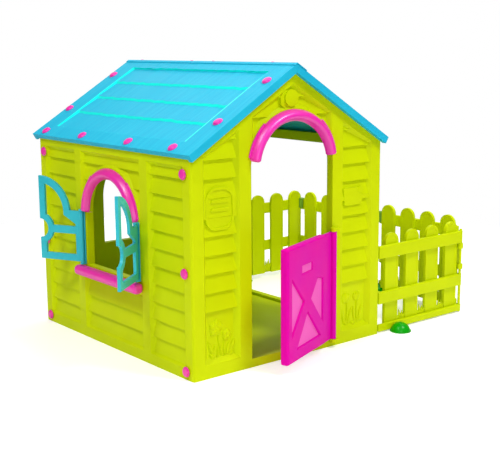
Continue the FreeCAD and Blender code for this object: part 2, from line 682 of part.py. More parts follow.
def save(node, shape):
    """Write one node, moved into the frame."""
    moved = shape.copy()
    moved.translate(TO_ORIGIN)
    moved.exportStep("parts/%s.step" % node)


def build():
    """Every node of the playhouse, by name."""
    wall_bolts = left_wall_bolts()
    wall_bolts_right = [mirror_x(b) for b in wall_bolts]
    left_bolts = roof_bolts()
    right_bolts = [mirror_x(b) for b in left_bolts]
    top_bolts = ridge_bolts()
    nodes = {
        "front_wall": front_wall(),
        "rear_wall": rear_wall(),
        "left_wall": left_wall().cut(wall_bolts),
        "right_wall": right_wall().cut(wall_bolts_right),
        "floor_panel": floor_panel(),
        "roof_left": roof_panel().cut(left_bolts),
        "roof_right": mirror_x(roof_panel()).cut(right_bolts + top_bolts),
        "ridge_cap": ridge_cap().cut(top_bolts),
        "door_arch_trim": door_arch_trim(),
        "window_arch_trim": window_arch_trim(),
        "window_sill": window_sill(),
        "door_leaf": door_leaf(),
        "door_lug_lower": door_lug(DOOR_FOOT_Z - 1 - LUG_HIGH, DOOR_FOOT_Z - 2),
        "door_lug_upper": door_lug(DOOR_HEAD_Z + 1, DOOR_HEAD_Z + 2 - DOOR_PIN_LONG),
        "shutter_near": shutter(1, SHUTTER_OPEN_NEAR_DEG),
        "shutter_far": shutter(-1, SHUTTER_OPEN_FAR_DEG),
        "shutter_hinge_near": shutter_hinge(1),
        "shutter_hinge_far": shutter_hinge(-1),
        "fence_front": fence_front(),
        "fence_side_front": fence_side_front(),
        "fence_side_rear": fence_side_rear(),
        "fence_rear": fence_rear(),
        "fence_corner_rod": fence_corner_rod(),
        "fence_clip_front": corner_clip(),
        "fence_clip_middle": joining_clip(),
        "fence_clip_rear": rear_corner_clip(),
        "fence_catch_front": wall_catch(RAIL_THICK + 1.5, RAIL_THICK + 20),
        "fence_foot_front": fence_foot(*FOOT_FRONT, FOOT_LIFT).cut(fence_front()),
        "fence_foot_side": fence_foot(*FOOT_SIDE, 0).cut([fence_side_front(), fence_side_rear()]),
        "fence_foot_rear": fence_foot(*FOOT_REAR, 0).cut(fence_rear()),
    }
    for index, piece in enumerate(wall_bolts, 1):
        nodes["wall_bolt_left_%d" % index] = piece
    half = len(WALL_CAP_Z)
    nodes["wall_bolts_right_front"] = Part.makeCompound(wall_bolts_right[:half])
    nodes["wall_bolts_right_rear"] = Part.makeCompound(wall_bolts_right[half:])
    rows = {"roof_bolt_left": left_bolts, "roof_bolt_right": right_bolts, "ridge_bolt": top_bolts}
    for row, bolts in rows.items():
        for index, piece in enumerate(bolts, 1):
            nodes["%s_%d" % (row, index)] = piece
    return nodes


def main():
    """Write every node's STEP file."""
    os.makedirs("parts", exist_ok=True)
    for node, shape in build().items():
        save(node, shape)
        solids = len(shape.Solids)
        box = shape.BoundBox
        print("%-24s %d %s %9.0f  x %.0f %.0f y %.0f %.0f z %.0f %.0f" % (
            node, solids, shape.isValid(), shape.Volume,
            box.XMin, box.XMax, box.YMin, box.YMax, box.ZMin, box.ZMax))


main()
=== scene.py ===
import sys
import logging
import math
from dataclasses import dataclass
from enum import Enum
from typing import Callable, Optional, Sequence

import bpy
from mathutils import Matrix, Vector


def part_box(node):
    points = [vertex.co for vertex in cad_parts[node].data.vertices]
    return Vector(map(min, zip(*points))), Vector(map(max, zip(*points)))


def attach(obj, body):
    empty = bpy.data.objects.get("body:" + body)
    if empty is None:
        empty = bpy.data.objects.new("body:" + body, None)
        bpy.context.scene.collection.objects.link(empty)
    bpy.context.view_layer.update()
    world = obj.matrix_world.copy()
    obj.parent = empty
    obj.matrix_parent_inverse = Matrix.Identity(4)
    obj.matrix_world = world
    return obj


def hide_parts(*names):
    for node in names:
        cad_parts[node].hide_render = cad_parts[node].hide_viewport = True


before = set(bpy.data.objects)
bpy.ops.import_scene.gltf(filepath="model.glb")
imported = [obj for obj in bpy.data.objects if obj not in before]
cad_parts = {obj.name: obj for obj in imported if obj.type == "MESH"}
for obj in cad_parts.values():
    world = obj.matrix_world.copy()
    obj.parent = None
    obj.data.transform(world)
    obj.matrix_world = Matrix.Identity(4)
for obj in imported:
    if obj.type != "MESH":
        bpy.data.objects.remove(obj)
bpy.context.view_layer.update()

# A moulded plastic playhouse with a picket-fenced garden. Sizes are millimetres from the front
# left corner of the house, X along the door wall, Y back and Z up, until a piece is set down.

MM = 0.001
CLADDING_DEEP = 18.5
BOARD_PITCH = 66.8
WALL_EDGE = 1.7
THROUGH = (-5.0, 60.0)
Point = Sequence[float]
Outline = Sequence[tuple[float, float]]
Test = Callable[[Vector, Vector], bool]
log = logging.getLogger("playhouse")


class Slot(Enum):
    """The record's material slots."""

    LIME = "lime_plastic"
    CYAN = "cyan_plastic"
    MAGENTA = "magenta_plastic"
    TEAL = "teal_plastic"
    CLIP = "clip_green_plastic"
    GREEN = "green_plastic"


class Body(Enum):
    """The bodies that pieces ride on."""

    HOUSE = "house"
    DOOR = "door"
    NEAR_SHUTTER = "near_shutter"
    FAR_SHUTTER = "far_shutter"
    GATE = "yard_gate"


class Pick(Enum):
    """What a selection in edit mode is made of."""

    POINT = "VERT"
    EDGE = "EDGE"
    FACE = "FACE"


class Facing(Enum):
    """The four walls, by the turn in degrees from the door wall's own frame."""

    FRONT = 0.0
    LEFT = -90.0
    REAR = 180.0
    RIGHT = 90.0


# Finishes


def linear(code: str) -> tuple[float, float, float, float]:
    """Turns an sRGB hex colour into the linear colour that shaders use.

    Args:
        code: Colour as "#RRGGBB".

    Returns:
        Red, green, blue and alpha.
    """
    levels = [int(code[i:i + 2], 16) / 255 for i in (1, 3, 5)]
    red, green, blue = [c / 12.92 if c <= 0.04045 else ((c + 0.055) / 1.055) ** 2.4 for c in levels]
    return (red, green, blue, 1.0)


def add_node(tree: bpy.types.NodeTree, kind: str, inputs: dict, **settings: object) -> bpy.types.Node:
    """Adds a node with its settings, values and links.

    Args:
        tree: The material's node tree.
        kind: The node's type name.
        inputs: Socket name or number to a value, or to the output socket that feeds it.
        **settings: Properties of the node itself.

    Returns:
        The new node.
    """
    node = tree.nodes.new(kind)
    for key, value in settings.items():
        setattr(node, key, value)
    for key, value in inputs.items():
        if isinstance(value, bpy.types.NodeSocket):
            tree.links.new(value, node.inputs[key])
        else:
            node.inputs[key].default_value = value
    return node


@dataclass(frozen=True)
class MouldedPlastic:
    """Moulded polyethylene: even colour, a soft satin gloss, faint flow marks and a fine mould texture.

    The real mould texture is about 0.5 mm across and would not show, so it is drawn coarser.
    """

    title: str
    slot: Slot
    colour: str
    flow_colour: str
    roughness: float = 0.38
    mottle: float = 0.10
    ior: float = 1.53
    shine: float = 0.25
    flow_mm: float = 210.0
    texture_mm: float = 4.0
    texture_deep_mm: float = 0.10
    sink_mm: float = 70.0
    sink_deep_mm: float = 0.55
    scatter: float = 0.0
    stretch: tuple[float, float, float] = (1.0, 1.0, 1.0)

    def make(self) -> bpy.types.Material:
        """Builds the material's nodes and returns it."""
        material = bpy.data.materials.new(self.title)
        material.use_nodes = True
        tree = material.node_tree
        tree.nodes.clear()
        place = add_node(tree, "ShaderNodeTexCoord", {}).outputs["Object"]
        mapping = add_node(tree, "ShaderNodeMapping", {"Vector": place, "Scale": self.stretch})
        along = mapping.outputs["Vector"]
        flow = self.noise(tree, along, self.flow_mm, 4.0)
        spread = add_node(tree, "ShaderNodeMapRange", {"Value": flow, "From Min": 0.32, "From Max": 0.68})
        tone = add_node(tree, "ShaderNodeMix", {
            "Factor": spread.outputs["Result"], 6: linear(self.colour), 7: linear(self.flow_colour),
        }, data_type="RGBA")
        gloss = add_node(tree, "ShaderNodeMapRange", {
            "Value": self.noise(tree, along, self.sink_mm, 5.0),
            "From Min": 0.3, "From Max": 0.7,
            "To Min": self.roughness - self.mottle / 2, "To Max": self.roughness + self.mottle / 2,
        })
        sinks = add_node(tree, "ShaderNodeBump", {
            "Height": self.noise(tree, along, self.sink_mm, 1.0), "Distance": self.sink_deep_mm * MM,
            "Strength": 1.0,
        })
        grain = add_node(tree, "ShaderNodeBump", {
            "Height": self.noise(tree, along, self.texture_mm, 2.0), "Distance": self.texture_deep_mm * MM,
            "Strength": 1.0, "Normal": sinks.outputs["Normal"],
        })
        shader = add_node(tree, "ShaderNodeBsdfPrincipled", {
            "Base Color": tone.outputs[2], "Roughness": gloss.outputs["Result"], "IOR": self.ior,
            "Specular IOR Level": self.shine, "Normal": grain.outputs["Normal"],
            "Subsurface Weight": self.scatter,
            "Subsurface Radius": (1.0, 0.6, 0.6), "Subsurface Scale": 0.006,
        })
        add_node(tree, "ShaderNodeOutputMaterial", {"Surface": shader.outputs["BSDF"]})
        material.diffuse_color = linear(self.colour)
        return material

    def noise(self, tree: bpy.types.NodeTree, place: bpy.types.NodeSocket, size_mm: float,
              detail: float) -> bpy.types.NodeSocket:
        """Adds a noise pattern.

        Args:
            tree: The material's node tree.
            place: Coordinates in metres.
            size_mm: Real size of the pattern's features.
            detail: Octaves of finer pattern.

        Returns:
            The pattern's value, from 0 to 1.
        """
        return add_node(tree, "ShaderNodeTexNoise", {
            "Vector": place, "Scale": 1.0 / (size_mm * MM), "Detail": detail, "Roughness": 0.55,
        }).outputs["Fac"]


# Lime walls: high-density polyethylene, evenly coloured, slightly greener where it flowed thin.
LIME = MouldedPlastic("moulded HDPE, lime", Slot.LIME, "#D0E000", "#C8D900", roughness=0.45, shine=0.06)
# Sky-blue roof: injection moulded, with a wood grain of long shallow streaks down the slope.
ROOF_BLUE = MouldedPlastic("grained HDPE, sky blue", Slot.CYAN, "#1CB2D6", "#26BEDC", roughness=0.48,
                           shine=0.1, flow_mm=14.0, texture_mm=3.2, texture_deep_mm=0.5, sink_mm=9.0,
                           sink_deep_mm=0.8, stretch=(0.05, 1.0, 0.05))
# The risers between the roof's shakes are painted a brighter, greener turquoise than the roof: painted light,
# so that the shaded steps still show as bright lines.
ROOF_RISER_PAINTED_LIGHT = MouldedPlastic("thin-wall HDPE, turquoise", Slot.CYAN, "#10FFEE", "#10F6E8",
                            roughness=0.4, shine=0.15)
# Glossier pink of the trims and bolt caps: a polished mould leaves clear highlights.
PINK = MouldedPlastic("polished HDPE, magenta", Slot.MAGENTA, "#F808A4", "#F00AB0", roughness=0.36,
                      shine=0.9, texture_deep_mm=0.04, sink_deep_mm=0.35)
# Door: the same pink, blow moulded, so duller and a little more violet.
DOOR_PINK = MouldedPlastic("blow-moulded HDPE, magenta", Slot.MAGENTA, "#E400A0", "#DC00A8",
                           roughness=0.45, shine=0.05)
# The door's thin webs are painted paler than the door: painted light, standing in for light that passes
# through them; only the weak scatter is a real light effect.
WEB_PINK_PAINTED_LIGHT = MouldedPlastic("magenta HDPE, webs painted pale", Slot.MAGENTA, "#F25CC0", "#EE54BC",
                          roughness=0.4, shine=0.1, scatter=0.1)
# Shutters: flat injection mouldings in polypropylene, satin.
TEAL = MouldedPlastic("moulded PP, teal", Slot.TEAL, "#38C2CE", "#30B6C6", roughness=0.34, ior=1.49)
# Clips: tough nylon-like plastic, duller and darker than the fence.
CLIP_GREEN = MouldedPlastic("moulded PP, leaf green", Slot.CLIP, "#7AA83C", "#70A034", roughness=0.46,
                            ior=1.49)
# Feet: soft glossy bottle green.
FOOT_GREEN = MouldedPlastic("moulded PP, bottle green", Slot.GREEN, "#00A400", "#009A08", roughness=0.3,
                            ior=1.49)


class Paints:
    """The finishes used, each made once."""

    def __init__(self) -> None:
        """Starts with no material made."""
        self.made: dict[str, bpy.types.Material] = {}

    def get(self, finish: MouldedPlastic) -> bpy.types.Material:
        """Returns the finish's material, making it the first time."""
        if finish.title not in self.made:
            self.made[finish.title] = finish.make()
        return self.made[finish.title]


PAINTS = Paints()


# Modelling


class Bench:
    """Modelling steps, taken on one piece at a time as by hand."""

    @staticmethod
    def hold(piece: bpy.types.Object) -> None:
        """Selects a piece alone and makes it the active one."""
        Bench.start()
        piece.select_set(True)
        bpy.context.view_layer.objects.active = piece

    @staticmethod
    def start() -> None:
        """Clears the selection, so that a new primitive is alone in it."""
        if bpy.context.object is not None and bpy.context.object.mode != "OBJECT":
            bpy.ops.object.mode_set(mode="OBJECT")
        bpy.ops.object.select_all(action="DESELECT")

    @staticmethod
    def block(low: Point, high: Point) -> bpy.types.Object:
        """Adds a block between two opposite corners and returns it."""
        Bench.start()
        centre = [(a + b) / 2 * MM for a, b in zip(low, high)]
        size = [(b - a) * MM for a, b in zip(low, high)]
        bpy.ops.mesh.primitive_cube_add(size=1, location=centre, scale=size)
        bpy.ops.object.transform_apply(location=True, rotation=True, scale=True)
        return bpy.context.object

    @staticmethod
    def drum(start: Point, end: Point, radius: float, end_radius: Optional[float] = None,
             segments: int = 64) -> bpy.types.Object:
        """Adds a round bar or a cone's slice between two centres.

        Args:
            start: Centre of the first end.
            end: Centre of the other end.
            radius: Radius at the first end.
            end_radius: Radius at the other end, the same when left out.
            segments: Sides of the round.

        Returns:
            The new piece.
        """
        Bench.start()
        first, last = Vector(start) * MM, Vector(end) * MM
        bpy.ops.mesh.primitive_cone_add(
            vertices=segments, radius1=radius * MM, radius2=(end_radius or radius) * MM,
            depth=(last - first).length, location=(first + last) / 2,
            rotation=(last - first).to_track_quat("Z", "Y").to_euler())
        bpy.ops.object.transform_apply(location=True, rotation=True, scale=True)
        return bpy.context.object

    @staticmethod
    def ball(centre: Point, radii: Point, segments: int = 20, rings: int = 10) -> bpy.types.Object:
        """Adds a flattened ball, one that is then cut or joined into relief, and returns it."""
        Bench.start()
        bpy.ops.mesh.primitive_uv_sphere_add(segments=segments, ring_count=rings, radius=1,
                                             location=[c * MM for c in centre], scale=[r * MM for r in radii])
        bpy.ops.object.transform_apply(location=True, rotation=True, scale=True)
        return bpy.context.object

    @staticmethod
    def slice(piece: bpy.types.Object, point: Point, normal: Point, drop: bool = True) -> None:
        """Cuts a piece by a plane.

        Args:
            piece: The piece to cut.
            point: A point of the plane.
            normal: The plane's direction; what lies on that side is dropped.
            drop: Whether to drop that side and close the cut, or only to score the faces.
        """
        Bench.hold(piece)
        bpy.ops.object.mode_set(mode="EDIT")
        bpy.ops.mesh.select_all(action="SELECT")
        bpy.ops.mesh.bisect(plane_co=Vector(point) * MM, plane_no=Vector(normal).normalized(),
                            use_fill=drop, clear_outer=drop, threshold=1e-6)
        bpy.ops.object.mode_set(mode="OBJECT")

    @staticmethod
    def pick(piece: bpy.types.Object, kind: Pick, test: Test) -> None:
        """Enters edit mode with the parts that pass a test selected.

        Args:
            piece: The piece.
            kind: Points, edges or faces.
            test: Gets a part's place in millimetres and its direction.
        """
        Bench.hold(piece)
        bpy.ops.object.mode_set(mode="EDIT")
        bpy.ops.mesh.select_mode(type=kind.value)
        bpy.ops.mesh.select_all(action="DESELECT")
        bpy.ops.object.mode_set(mode="OBJECT")
        mesh = piece.data
        points = mesh.vertices
        if kind is Pick.FACE:
            for face in mesh.polygons:
                face.select = test(face.center / MM, face.normal)
        elif kind is Pick.EDGE:
            for edge in mesh.edges:
                a, b = (points[i].co for i in edge.vertices)
                edge.select = test((a + b) / 2 / MM, (b - a).normalized())
        else:
            for point in points:
                point.select = test(point.co / MM, point.normal)
        bpy.ops.object.mode_set(mode="EDIT")

    @staticmethod
    def done() -> None:
        """Leaves edit mode."""
        bpy.ops.object.mode_set(mode="OBJECT")

    @staticmethod
    def bevel(piece: bpy.types.Object, test: Test, width: float, segments: int) -> None:
        """Rounds the edges that pass a test."""
        Bench.pick(piece, Pick.EDGE, test)
        bpy.ops.mesh.bevel(offset=width * MM, segments=segments, affect="EDGES")
        Bench.done()

    @staticmethod
    def shift(piece: bpy.types.Object, test: Test, by: Point) -> None:
        """Moves the points that pass a test by some millimetres."""
        Bench.pick(piece, Pick.POINT, test)
        bpy.ops.transform.translate(value=[v * MM for v in by])
        Bench.done()

    @staticmethod
    def push(piece: bpy.types.Object, group: str, axis: str, distance: float,
             uneven: Optional[bpy.types.Texture] = None) -> None:
        """Pushes a group of points along an axis.

        Args:
            piece: The piece.
            group: The name of the group of points.
            axis: X, Y or Z.
            distance: How far, in millimetres.
            uneven: A pattern that makes the push vary to either side, if any.
        """
        Bench.hold(piece)
        change = piece.modifiers.new("push", "DISPLACE")
        change.vertex_group = group
        change.direction = axis
        change.strength = distance * MM
        change.mid_level = 0.0
        if uneven is not None:
            change.mid_level = 0.5
            change.texture = uneven
            change.texture_coords = "LOCAL"
        bpy.ops.object.modifier_apply(modifier=change.name)

    @staticmethod
    def cut(piece: bpy.types.Object, tool: bpy.types.Object, operation: str = "DIFFERENCE") -> None:
        """Cuts a tool from a piece, or joins it on, and uses the tool up."""
        Bench.hold(piece)
        change = piece.modifiers.new("cut", "BOOLEAN")
        change.object = tool
        change.operation = operation
        change.solver = "EXACT"
        bpy.ops.object.modifier_apply(modifier=change.name)
        bpy.data.objects.remove(tool)

    @staticmethod
    def weld(piece: bpy.types.Object, reach: float = 0.12) -> None:
        """Merges points that lie together and turns the faces outwards."""
        Bench.hold(piece)
        bpy.ops.object.mode_set(mode="EDIT")
        bpy.ops.mesh.select_all(action="SELECT")
        bpy.ops.mesh.remove_doubles(threshold=reach * MM)
        bpy.ops.mesh.normals_make_consistent(inside=False)
        bpy.ops.object.mode_set(mode="OBJECT")

    @staticmethod
    def soften(piece: bpy.types.Object, width: float, segments: int = 2, angle: float = 32.0) -> None:
        """Rounds every edge sharper than an angle."""
        Bench.hold(piece)
        change = piece.modifiers.new("rounded edges", "BEVEL")
        change.width = width * MM
        change.segments = segments
        change.limit_method = "ANGLE"
        change.angle_limit = math.radians(angle)
        bpy.ops.object.modifier_apply(modifier=change.name)

    @staticmethod
    def smooth(piece: bpy.types.Object, angle: float = 38.0) -> None:
        """Shades a piece smooth across gentle edges, led by its large faces."""
        Bench.hold(piece)
        bpy.ops.object.shade_smooth_by_angle(angle=math.radians(angle))
        change = piece.modifiers.new("even shading", "WEIGHTED_NORMAL")
        change.keep_sharp = True
        bpy.ops.object.modifier_apply(modifier=change.name)

    @staticmethod
    def join(pieces: Sequence[bpy.types.Object]) -> bpy.types.Object:
        """Joins pieces into the first one and returns it."""
        Bench.start()
        for piece in pieces:
            piece.select_set(True)
        bpy.context.view_layer.objects.active = pieces[0]
        bpy.ops.object.join()
        return pieces[0]

    @staticmethod
    def copy(piece: bpy.types.Object, matrix: Matrix) -> bpy.types.Object:
        """Makes a copy with its own mesh, set down by a matrix in metres, and returns it."""
        twin = piece.copy()
        twin.data = piece.data.copy()
        bpy.context.scene.collection.objects.link(twin)
        Bench.set_down(twin, matrix)
        return twin

    @staticmethod
    def set_down(piece: bpy.types.Object, matrix: Matrix) -> None:
        """Moves a piece by a matrix and keeps the move in its mesh."""
        piece.matrix_world = matrix
        Bench.hold(piece)
        bpy.ops.object.transform_apply(location=True, rotation=True, scale=True)
        if matrix.determinant() < 0:
            Bench.weld(piece)


def move(x: float, y: float, z: float) -> Matrix:
    """Returns a move by some millimetres."""
    return Matrix.Translation((x * MM, y * MM, z * MM))


def turn(degrees: float, axis: str = "Z") -> Matrix:
    """Returns a turn about an axis through the origin."""
    return Matrix.Rotation(math.radians(degrees), 4, axis)


def flip() -> Matrix:
    """Returns a mirroring across Y = 0."""
    return Matrix.Scale(-1, 4, (0, 1, 0))


def runs_back(_: Vector, way: Vector) -> bool:
    """Tells whether an edge runs along Y, by its direction."""
    return abs(way.y) > 0.9


@dataclass(frozen=True)
class Boards:
    """Cladding boards that lap over one another at the bottom of a recess."""

    lines: tuple[float, ...]
    from_foot: bool = True
    proud: float = 7.0
    tucked: float = CLADDING_DEEP
    lap: float = 1.6


def recess_tool(outline: Outline, depth: float, draft: float = 1.0,
                boards: Optional[Boards] = None) -> bpy.types.Object:
    """Makes the solid that is cut from a wall's face, Y = 0, to leave a recess.

    Args:
        outline: The recess's corners (x, z) on the face, anticlockwise as seen from outside.
        depth: How deep it is.
        draft: How far its sides lean in for each millimetre of depth.
        boards: Boards on its floor, if any.

    Returns:
        The tool.
    """
    margin = 4.0
    low_x, high_x = min(x for x, _ in outline) - margin, max(x for x, _ in outline) + margin
    low_z, high_z = min(z for _, z in outline) - margin, max(z for _, z in outline) + margin
    tool = Bench.block((low_x, -margin, low_z), (high_x, depth, high_z))
    if boards is not None:
        rise = boards.proud - boards.tucked
        for line in boards.lines:
            for edge in (-boards.lap / 2, boards.lap / 2):
                Bench.slice(tool, (0, 0, line + edge), (0, 0, 1), drop=False)
        feet = [line + boards.lap / 2 for line in boards.lines] + ([low_z] if boards.from_foot else [])
        Bench.shift(tool, lambda p, n: p.y > 1 and any(abs(p.z - foot) < 0.2 for foot in feet), (0, rise, 0))
    for (x0, z0), (x1, z1) in zip(outline, [*outline[1:], outline[0]]):
        long = math.hypot(x1 - x0, z1 - z0)
        Bench.slice(tool, (x0, 0, z0), ((z1 - z0) / long, draft, -(x1 - x0) / long))
    return tool


def oblong(x0: float, z0: float, x1: float, z1: float) -> Outline:
    """Returns a rectangle's corners, anticlockwise."""
    return [(x0, z0), (x1, z0), (x1, z1), (x0, z1)]


def arch_tool(middle: float, half: float, spring: float, foot: float, y_from: float, y_to: float,
              flare: float = 1.0, segments: int = 72) -> bpy.types.Object:
    """Makes a round-topped upright solid along Y.

    Args:
        middle: X of its middle.
        half: Half its width, which is the arch's radius.
        spring: Height where the arch starts.
        foot: Height of its foot.
        y_from: Its front.
        y_to: Its back.
        flare: How many times larger the back is than the front.
        segments: Sides of the full round.

    Returns:
        The solid.
    """
    solid = Bench.drum((middle, y_from, spring), (middle, y_to, spring), half, half * flare, segments)
    if foot < spring:
        Bench.slice(solid, (middle, 0, spring), (0, 0, -1))
        Bench.pick(solid, Pick.FACE, lambda p, n: n.z < -0.99)
        bpy.ops.mesh.extrude_region_move(TRANSFORM_OT_translate={"value": (0, 0, (foot - spring) * MM)})
        Bench.done()
    return solid


# Putting pieces into the frame


@dataclass(frozen=True)
class House:
    """Where the house stands, read from the frame."""

    corner: Vector
    width: float
    length: float
    eave: float

    @classmethod
    def from_frame(cls) -> "House":
        """Reads the house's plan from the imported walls."""
        front_low, front_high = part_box("front_wall")
        _, rear_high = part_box("rear_wall")
        left_low, left_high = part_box("left_wall")
        corner = Vector((front_low.x, left_low.y, 0.0))
        sizes = (front_high.x - front_low.x, rear_high.y - corner.y, left_high.z)
        return cls(corner, *(round(size / MM, 2) for size in sizes))

    def frame(self) -> Matrix:
        """Returns the move from the drawing corner into the frame."""
        return Matrix.Translation(self.corner)

    def wall(self, facing: Facing) -> Matrix:
        """Returns the place of a wall drawn as the door wall is, by the way that it faces."""
        start = {
            Facing.FRONT: (0, 0), Facing.LEFT: (0, self.length),
            Facing.REAR: (self.width, self.length), Facing.RIGHT: (self.width, 0),
        }[facing]
        return self.frame() @ move(*start, 0) @ turn(facing.value)

    def stand(self, wall: bpy.types.Object, facing: Facing, name: str, node: str,
              relief: Sequence[bpy.types.Object] = ()) -> None:
        """Finishes a wall and puts it in its place.

        Args:
            wall: The wall, drawn as the door wall is.
            facing: The way that it faces.
            name: Its name in a maker's words.
            node: The CAD node that it stands for.
            relief: Raised shapes that are moulded on it.
        """
        Bench.weld(wall)
        Bench.soften(wall, WALL_EDGE)
        wall = Bench.join([wall, *relief])
        Bench.smooth(wall)
        Bench.set_down(wall, self.wall(facing))
        hand_over(wall, name, Body.HOUSE, [LIME], [node])


def hand_over(piece: bpy.types.Object, name: str, body: Body, finishes: Sequence[MouldedPlastic],
              nodes: Sequence[str] = ()) -> bpy.types.Object:
    """Names a finished piece, paints it and puts it into the frame.

    Args:
        piece: The piece, in its place.
        name: Its name in a maker's words.
        body: The body that it rides on.
        finishes: Its finishes in the order of its material slots.
        nodes: The CAD nodes that it stands for.

    Returns:
        The piece.
    """
    piece.name = name
    piece.data.name = name
    slots = piece.data.materials
    while len(slots) < len(finishes):
        slots.append(None)
    for index, finish in enumerate(finishes):
        slots[index] = PAINTS.get(finish)
    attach(piece, body.value)
    if nodes:
        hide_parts(*nodes)
    log.info("%s: %d faces on %s", name, len(piece.data.polygons), body.value)
    return piece


# Walls


@dataclass
class WallBlank:
    """A plain wall panel with mitred ends, drawn lying along X with its face at Y = 0."""

    long: float
    high: float
    thick: float = 31.0
    corner_radius: float = 10.0
    ridge_rise: float = 0.0

    def build(self) -> bpy.types.Object:
        """Builds the blank, with the sloping top of a gable when it has a rise, and returns it."""
        wall = Bench.block((0, 0, 0), (self.long, self.thick, self.high + self.ridge_rise))
        Bench.bevel(wall, lambda p, n: abs(n.z) > 0.9 and p.y < 1, self.corner_radius, 5)
        Bench.slice(wall, (0, 0, 0), (-1, 1, 0))
        Bench.slice(wall, (self.long, 0, 0), (1, 1, 0))
        if self.ridge_rise:
            slope = Vector((self.ridge_rise, 0, -self.long / 2)).normalized()
            Bench.slice(wall, (0, 0, self.high), -slope)
            Bench.slice(wall, (self.long, 0, self.high), (slope.x, 0, -slope.z))
        return wall


@dataclass
class Relief:
    """Raised shapes moulded on a wall's recess floors, low enough to stay behind the face."""

    floor: float = CLADDING_DEEP

    def petal(self, x: float, z: float, wide: float, long: float, lean: float = 0.0,
              proud: float = 6.0) -> bpy.types.Object:
        """Makes one leaf or petal: a pointed, flattened form.

        Args:
            x: Middle across the wall.
            z: Middle height.
            wide: Half its width.
            long: Half its length.
            lean: Degrees that it leans to the right.
            proud: How far it stands off the floor.

        Returns:
            The petal.
        """
        leaf = Bench.ball((0, 0, 0), (wide, proud, long), 12, 8)
        Bench.pick(leaf, Pick.POINT, lambda p, n: p.z > long * 0.55)
        bpy.ops.transform.resize(value=(0.45, 1, 1), center_override=(0, 0, 0))
        Bench.done()
        Bench.set_down(leaf, move(x, self.floor, z) @ turn(lean, "Y"))
        return leaf

    def rose(self, x: float, z: float, radius: float) -> list[bpy.types.Object]:
        """Makes a round bloom of overlapping petals and returns its parts."""
        bloom = [Bench.ball((x, self.floor, z), (radius, 6.5, radius), 20, 8)]
        for turn_deg in range(0, 360, 72):
            angle = math.radians(turn_deg + 20)
            bloom.append(self.petal(x + math.cos(angle) * radius * 0.5, z + math.sin(angle) * radius * 0.5,
                                    radius * 0.42, radius * 0.62, 90 - turn_deg, 9.0))
        return bloom

    def tulip(self, x: float, z: float, radius: float) -> list[bpy.types.Object]:
        """Makes a cup-shaped bloom of three petals and returns its parts."""
        return [self.petal(x, z, radius * 0.62, radius, 0, 8.0),
                self.petal(x - radius * 0.5, z - 2, radius * 0.5, radius * 0.95, -16, 6.0),
                self.petal(x + radius * 0.5, z - 2, radius * 0.5, radius * 0.95, 16, 6.0)]

    def stem(self, x: float, foot: float, head: float, sway: float) -> list[bpy.types.Object]:
        """Makes a stem of two lengths that leans by some degrees, and returns them."""
        mid, half = (foot + head) / 2, (head - foot) / 4
        return [self.petal(x, mid - half, 3.2, half * 1.25, sway, 5.0),
                self.petal(x + sway * 0.4, mid + half, 3.0, half * 1.25, -sway, 5.0)]

    def rose_bed(self) -> list[bpy.types.Object]:
        """Makes the two roses and their leaves on the left pier and returns the parts."""
        parts = self.rose(111, 175, 30) + self.rose(158, 143, 20)
        parts += self.stem(118, 58, 148, 12) + self.stem(150, 58, 124, -8)
        leaves = ((88, 104, 8, 34, -24), (104, 88, 7, 30, 10), (166, 92, 8, 30, 14), (186, 100, 9, 34, 26),
                  (136, 80, 7, 24, -14), (176, 72, 8, 22, 40), (96, 72, 8, 20, -46))
        return parts + [self.petal(*leaf) for leaf in leaves]

    def tulip_bed(self) -> list[bpy.types.Object]:
        """Makes the two tulips and their leaves on the right pier and returns the parts."""
        parts = self.tulip(753, 176, 22) + self.tulip(812, 176, 20)
        parts += self.stem(758, 60, 156, 4) + self.stem(814, 64, 158, -4)
        leaves = ((738, 104, 7, 36, -14), (776, 100, 7, 34, 14), (798, 108, 7, 32, -12),
                  (834, 104, 7, 34, 14), (748, 78, 7, 20, -34), (828, 78, 7, 18, 34))
        parts.append(Bench.ball((793, self.floor, 68), (11, 8, 9)))
        return parts + [self.petal(*leaf) for leaf in leaves]


@dataclass
class WallPlaque:
    """A raised round-ended plaque with side lugs, on the boards of the left pier."""

    middle: float = 129.0
    low: float = 527.0
    high: float = 677.0
    half: float = 62.0
    face: float = 5.2
    back: float = 20.0
    lug_z: tuple[float, float] = (569.0, 641.0)
    lug_half: float = 72.0
    bars: tuple[float, float] = (629.0, 600.0)
    bar_half: float = 38.0
    corner: float = 46.0
    dish_corner: float = 38.0
    bar_corner: float = 5.4

    def build(self) -> bpy.types.Object:
        """Builds the plaque with its rim and bars and returns it."""
        plaque = Bench.block((self.middle - self.half, self.face, self.low),
                             (self.middle + self.half, self.back, self.high))
        Bench.bevel(plaque, runs_back, self.corner, 8)
        lugs = Bench.block((self.middle - self.lug_half, self.face + 0.8, self.lug_z[0]),
                           (self.middle + self.lug_half, self.back, self.lug_z[1]))
        Bench.cut(plaque, lugs, "UNION")
        dish = Bench.block((self.middle - self.half + 8, self.face - 5, self.low + 9),
                           (self.middle + self.half - 8, self.face + 3.6, self.high - 9))
        Bench.bevel(dish, runs_back, self.dish_corner, 8)
        Bench.cut(plaque, dish)
        for z in self.bars:
            bar = Bench.block((self.middle - self.bar_half, self.face - 0.2, z - 6),
                              (self.middle + self.bar_half, self.back, z + 6))
            Bench.bevel(bar, runs_back, self.bar_corner, 3)
            Bench.cut(plaque, bar, "UNION")
        return plaque


